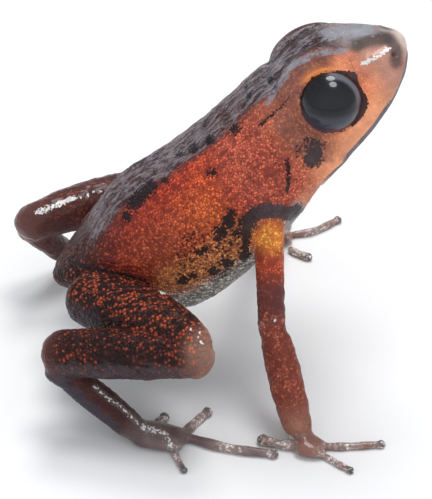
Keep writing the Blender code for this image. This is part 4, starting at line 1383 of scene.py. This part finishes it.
# %% [markdown]
# ## The skin's material
#
# The grain comes from a Voronoi texture: each cell is one granule, a low dome with a dark gap round
# it. Chance and the stored cover decide how bright each granule is, and the domes go into the bump.
# Blotches are thresholded with noise. The painted sheen's silvery streaks are noise in a space
# squeezed along the body, which stretches its features, and the painted highlights are thresholded
# with noise like the blotches. A thin clear coat gives the wet look, and a little light passes
# under the surface, most of all in the thin toes.

# %% Skin material
FINE_GRANULE = 0.000085
STIPPLE = 0.000080
COARSE_GRANULE = 0.000100
WOBBLE = 0.000060
PATCH_SIZE = 0.0011
TONE_SIZE = 0.0004
BUMP_HEIGHT = 0.000022
MARK_COLOUR, GREY_MARK = (0.012, 0.009, 0.012, 1.0), (0.072, 0.055, 0.062, 1.0)
# The colour of the painted highlights.
PAINTED_HIGHLIGHT_COLOUR = (0.800, 0.780, 0.760, 1.0)
BODY_SLOPE = math.radians(45.0)
CROSSING = math.radians(16.0)
STREAK_LENGTH = 3.5
STREAK_WIDTH = 0.00014
SKIN_LOOK = {"Specular IOR Level": 0.14, "Coat Roughness": 0.14, "Subsurface Weight": 0.10,
             "Subsurface Radius": (1.0, 0.35, 0.2), "Subsurface Scale": 0.00012}


def skin_material():
    """Ground and granules, dark marks, painted sheen and highlights, and a wet coat."""
    graph, shader = new_material("frog_skin")
    stored, noise, cells, ramp = graph.stored, graph.noise, graph.cells, graph.ramp
    mix, blend = graph.mix, graph.blend
    place = graph.coordinates("Object")

    grain = noise(place, FINE_GRANULE, 4.0)
    patches = noise(place, PATCH_SIZE, 3.0)
    coarseness = ramp(stored("coarse") + (patches - 0.5), 0.44, 0.56)
    wobble = noise(place, COARSE_GRANULE, 2.0, "Color")
    bent = graph.vector("MULTIPLY_ADD", {0: wobble, 1: (WOBBLE,) * 3, 2: place})
    dome = mix(coarseness,
               ramp(cells(bent, FINE_GRANULE, "DISTANCE_TO_EDGE", "Distance"), 0.0, 0.26),
               ramp(cells(bent, COARSE_GRANULE, "F1", "Distance"), 0.72, 0.16))
    chance = mix(coarseness, *[
        graph.node("ShaderNodeSeparateColor", 0, {0: cells(bent, size, "F1", "Color")})
        for size in (FINE_GRANULE, COARSE_GRANULE)])
    covered = (stored("cover") + (patches - 0.5) + (grain - 0.5) * 0.5
               + (chance - 0.5) * mix(coarseness, 0.95, 1.15))
    granules = ramp(covered, 0.30, 0.95) * mix(dome, mix(coarseness, 0.16, 0.03), 1.0)
    colour = blend(granules, stored("ground", "Color"), stored("granule", "Color"))

    crossed = []
    for turn in (-CROSSING, CROSSING):
        squeezed = graph.node("ShaderNodeMapping", 0, {
            "Vector": place, "Rotation": (0.0, -BODY_SLOPE, turn),
            "Scale": (STREAK_LENGTH, 1.0, 1.0)}, vector_type="TEXTURE")
        crossed.append(noise(squeezed, STREAK_WIDTH, 4.0))
    # Painted sheen: a silvery grey mixed into the colour in streaks.
    sheen = stored("sheen")
    streak = graph.calculate("MAXIMUM", *crossed) + (grain - 0.5) * 0.35 + (sheen - 0.5) * 0.42
    painted_sheen = ramp(streak, 0.43, 0.68) * ramp(sheen, 0.02, 0.40)
    colour = blend(painted_sheen, colour, stored("painted_sheen", "Color"))

    stipple = noise(place, STIPPLE, 5.0)
    softness = stored("soft_mark")
    marks = ramp(stored("dark") + (stipple - 0.5) * mix(softness, 1.7, 0.8), 0.42, 0.58)
    colour = blend(marks * 0.95, colour, blend(softness, MARK_COLOUR, GREY_MARK))
    # Painted highlights: pale colour laid over the grain where the wet skin shines.
    glint = ramp(stored("painted_highlight") + (stipple - 0.5) * 1.8, 0.44, 0.60)
    colour = blend(glint, colour, PAINTED_HIGHLIGHT_COLOUR)
    tone = ramp(noise(place, TONE_SIZE, 4.0), 0.2, 0.8) * 0.36 + 0.82

    lift = (dome + grain * 0.5) * (coarseness + 1.0)
    bump = graph.node("ShaderNodeBump", 0, {
        "Distance": BUMP_HEIGHT, "Strength": 1.0 - stored("smoothness") * 0.70, "Height": lift})
    graph.give(shader, {
        "Base Color": graph.vector("SCALE", {0: colour, "Scale": tone}), "Normal": bump,
        "Roughness": grain * 0.25 + 0.30, "Coat Weight": stored("wet") * 0.85 + 0.03,
        **SKIN_LOOK})
    return graph.owner


mesh.materials.clear()
mesh.materials.append(skin_material())
print("skin material nodes:", len(mesh.materials[0].node_tree.nodes))

# %% [markdown]
# ## The eyes
#
# A dart frog's eye is almost black: a wide pupil in a very dark iris, under a clear, wet cornea.
# Each eyeball is a fine sphere whose pole is the line of sight, replacing the plain one. Stored
# numbers tell the material where on the eye it is: the angle from the pole, at which the pupil
# ends, and how far ahead and how low, for a pale grey crescent at the front edge and a bluish tint
# on the lower half. Both are painted reflections laid into the eye's colour, and the tint is that
# of the floor.

# %% Eyeballs
PUPIL, IRIS = (0.003, 0.003, 0.006, 1.0), (0.014, 0.013, 0.014, 1.0)
EYE_FRONT_REFLECTION, FLOOR_REFLECTION_TINT = (0.130, 0.130, 0.155, 1.0), (0.85, 0.95, 1.40)
FLECK = 0.00009
EYE_LOOK = {"Roughness": 0.30, "Specular IOR Level": 0.10, "Coat Weight": 0.68,
            "Coat Roughness": 0.02}


def eyeball(side, sign):
    """A sphere round the gaze: centre plus radius times the cosine and sine of two angles."""
    gaze = HEAD_AXES @ (unit(GAZE) * np.array([1.0, sign, 1.0]))
    across = unit(np.cross(gaze, HEAD_UP))
    axes = np.stack([-gaze, across, np.cross(-gaze, across)], axis=1)
    places, faces = closed_grid(ellipsoid(eye_place(sign), (EYE_RADIUS,) * 3, axes), 96, 128)
    ball_mesh = mesh_from("eye_ball_" + side, to_frame(places), faces)
    ball_mesh.shade_smooth()
    offset = unit(places - eye_place(sign))
    off_gaze = np.degrees(np.arccos(np.clip(offset @ gaze, -1, 1)))
    store(ball_mesh, {"off_gaze": off_gaze, "ahead": offset @ HEAD_FORWARD, "low": -offset[:, 2]})
    return in_scene("eye_ball_" + side, ball_mesh)


def eye_material():
    """Black pupil and very dark iris, with a painted grey reflection at the front edge and a
    painted bluish floor reflection low down, under a clear coat.
    """
    graph, shader = new_material("wet_eye")
    stored, ramp = graph.stored, graph.ramp
    off_gaze = stored("off_gaze")
    fleck = ramp(graph.noise(graph.coordinates("Object"), FLECK, 4.0), 0.45, 0.75)
    colour = graph.blend(ramp(off_gaze, 38.0, 46.0) * fleck, PUPIL, IRIS)
    # Painted reflection: a grey crescent at the front edge of the eye.
    edge = ramp(off_gaze, 45.0, 55.0) * ramp(stored("ahead"), 0.55, 0.82) * 0.9
    colour = graph.blend(edge, colour, EYE_FRONT_REFLECTION)
    # Painted reflection of the floor: a bluish lift of the colour on the lower half.
    floor_reflection = ramp(stored("low"), -0.12, 0.12) * 0.034
    colour = graph.vector("MULTIPLY_ADD", {0: floor_reflection, 1: FLOOR_REFLECTION_TINT, 2: colour})
    graph.give(shader, {"Base Color": colour, **EYE_LOOK})
    return graph.owner


wet_eye = eye_material()
for side, sign in SIDES.items():
    ball = eyeball(side, sign)
    ball.data.materials.append(wet_eye)
    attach(ball, "root")
    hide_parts("eye_" + side)
print("eyeball diameter in mm:", round(2 * EYE_RADIUS * SVL * 1000, 2))

# %% The sizes of the plain model and the dressed one
sizes = {"cad": CAD_BOX, "visual": [list(corner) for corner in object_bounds()]}
print("visual box in mm:", np.round(np.array(sizes["visual"]) * 1000, 2))
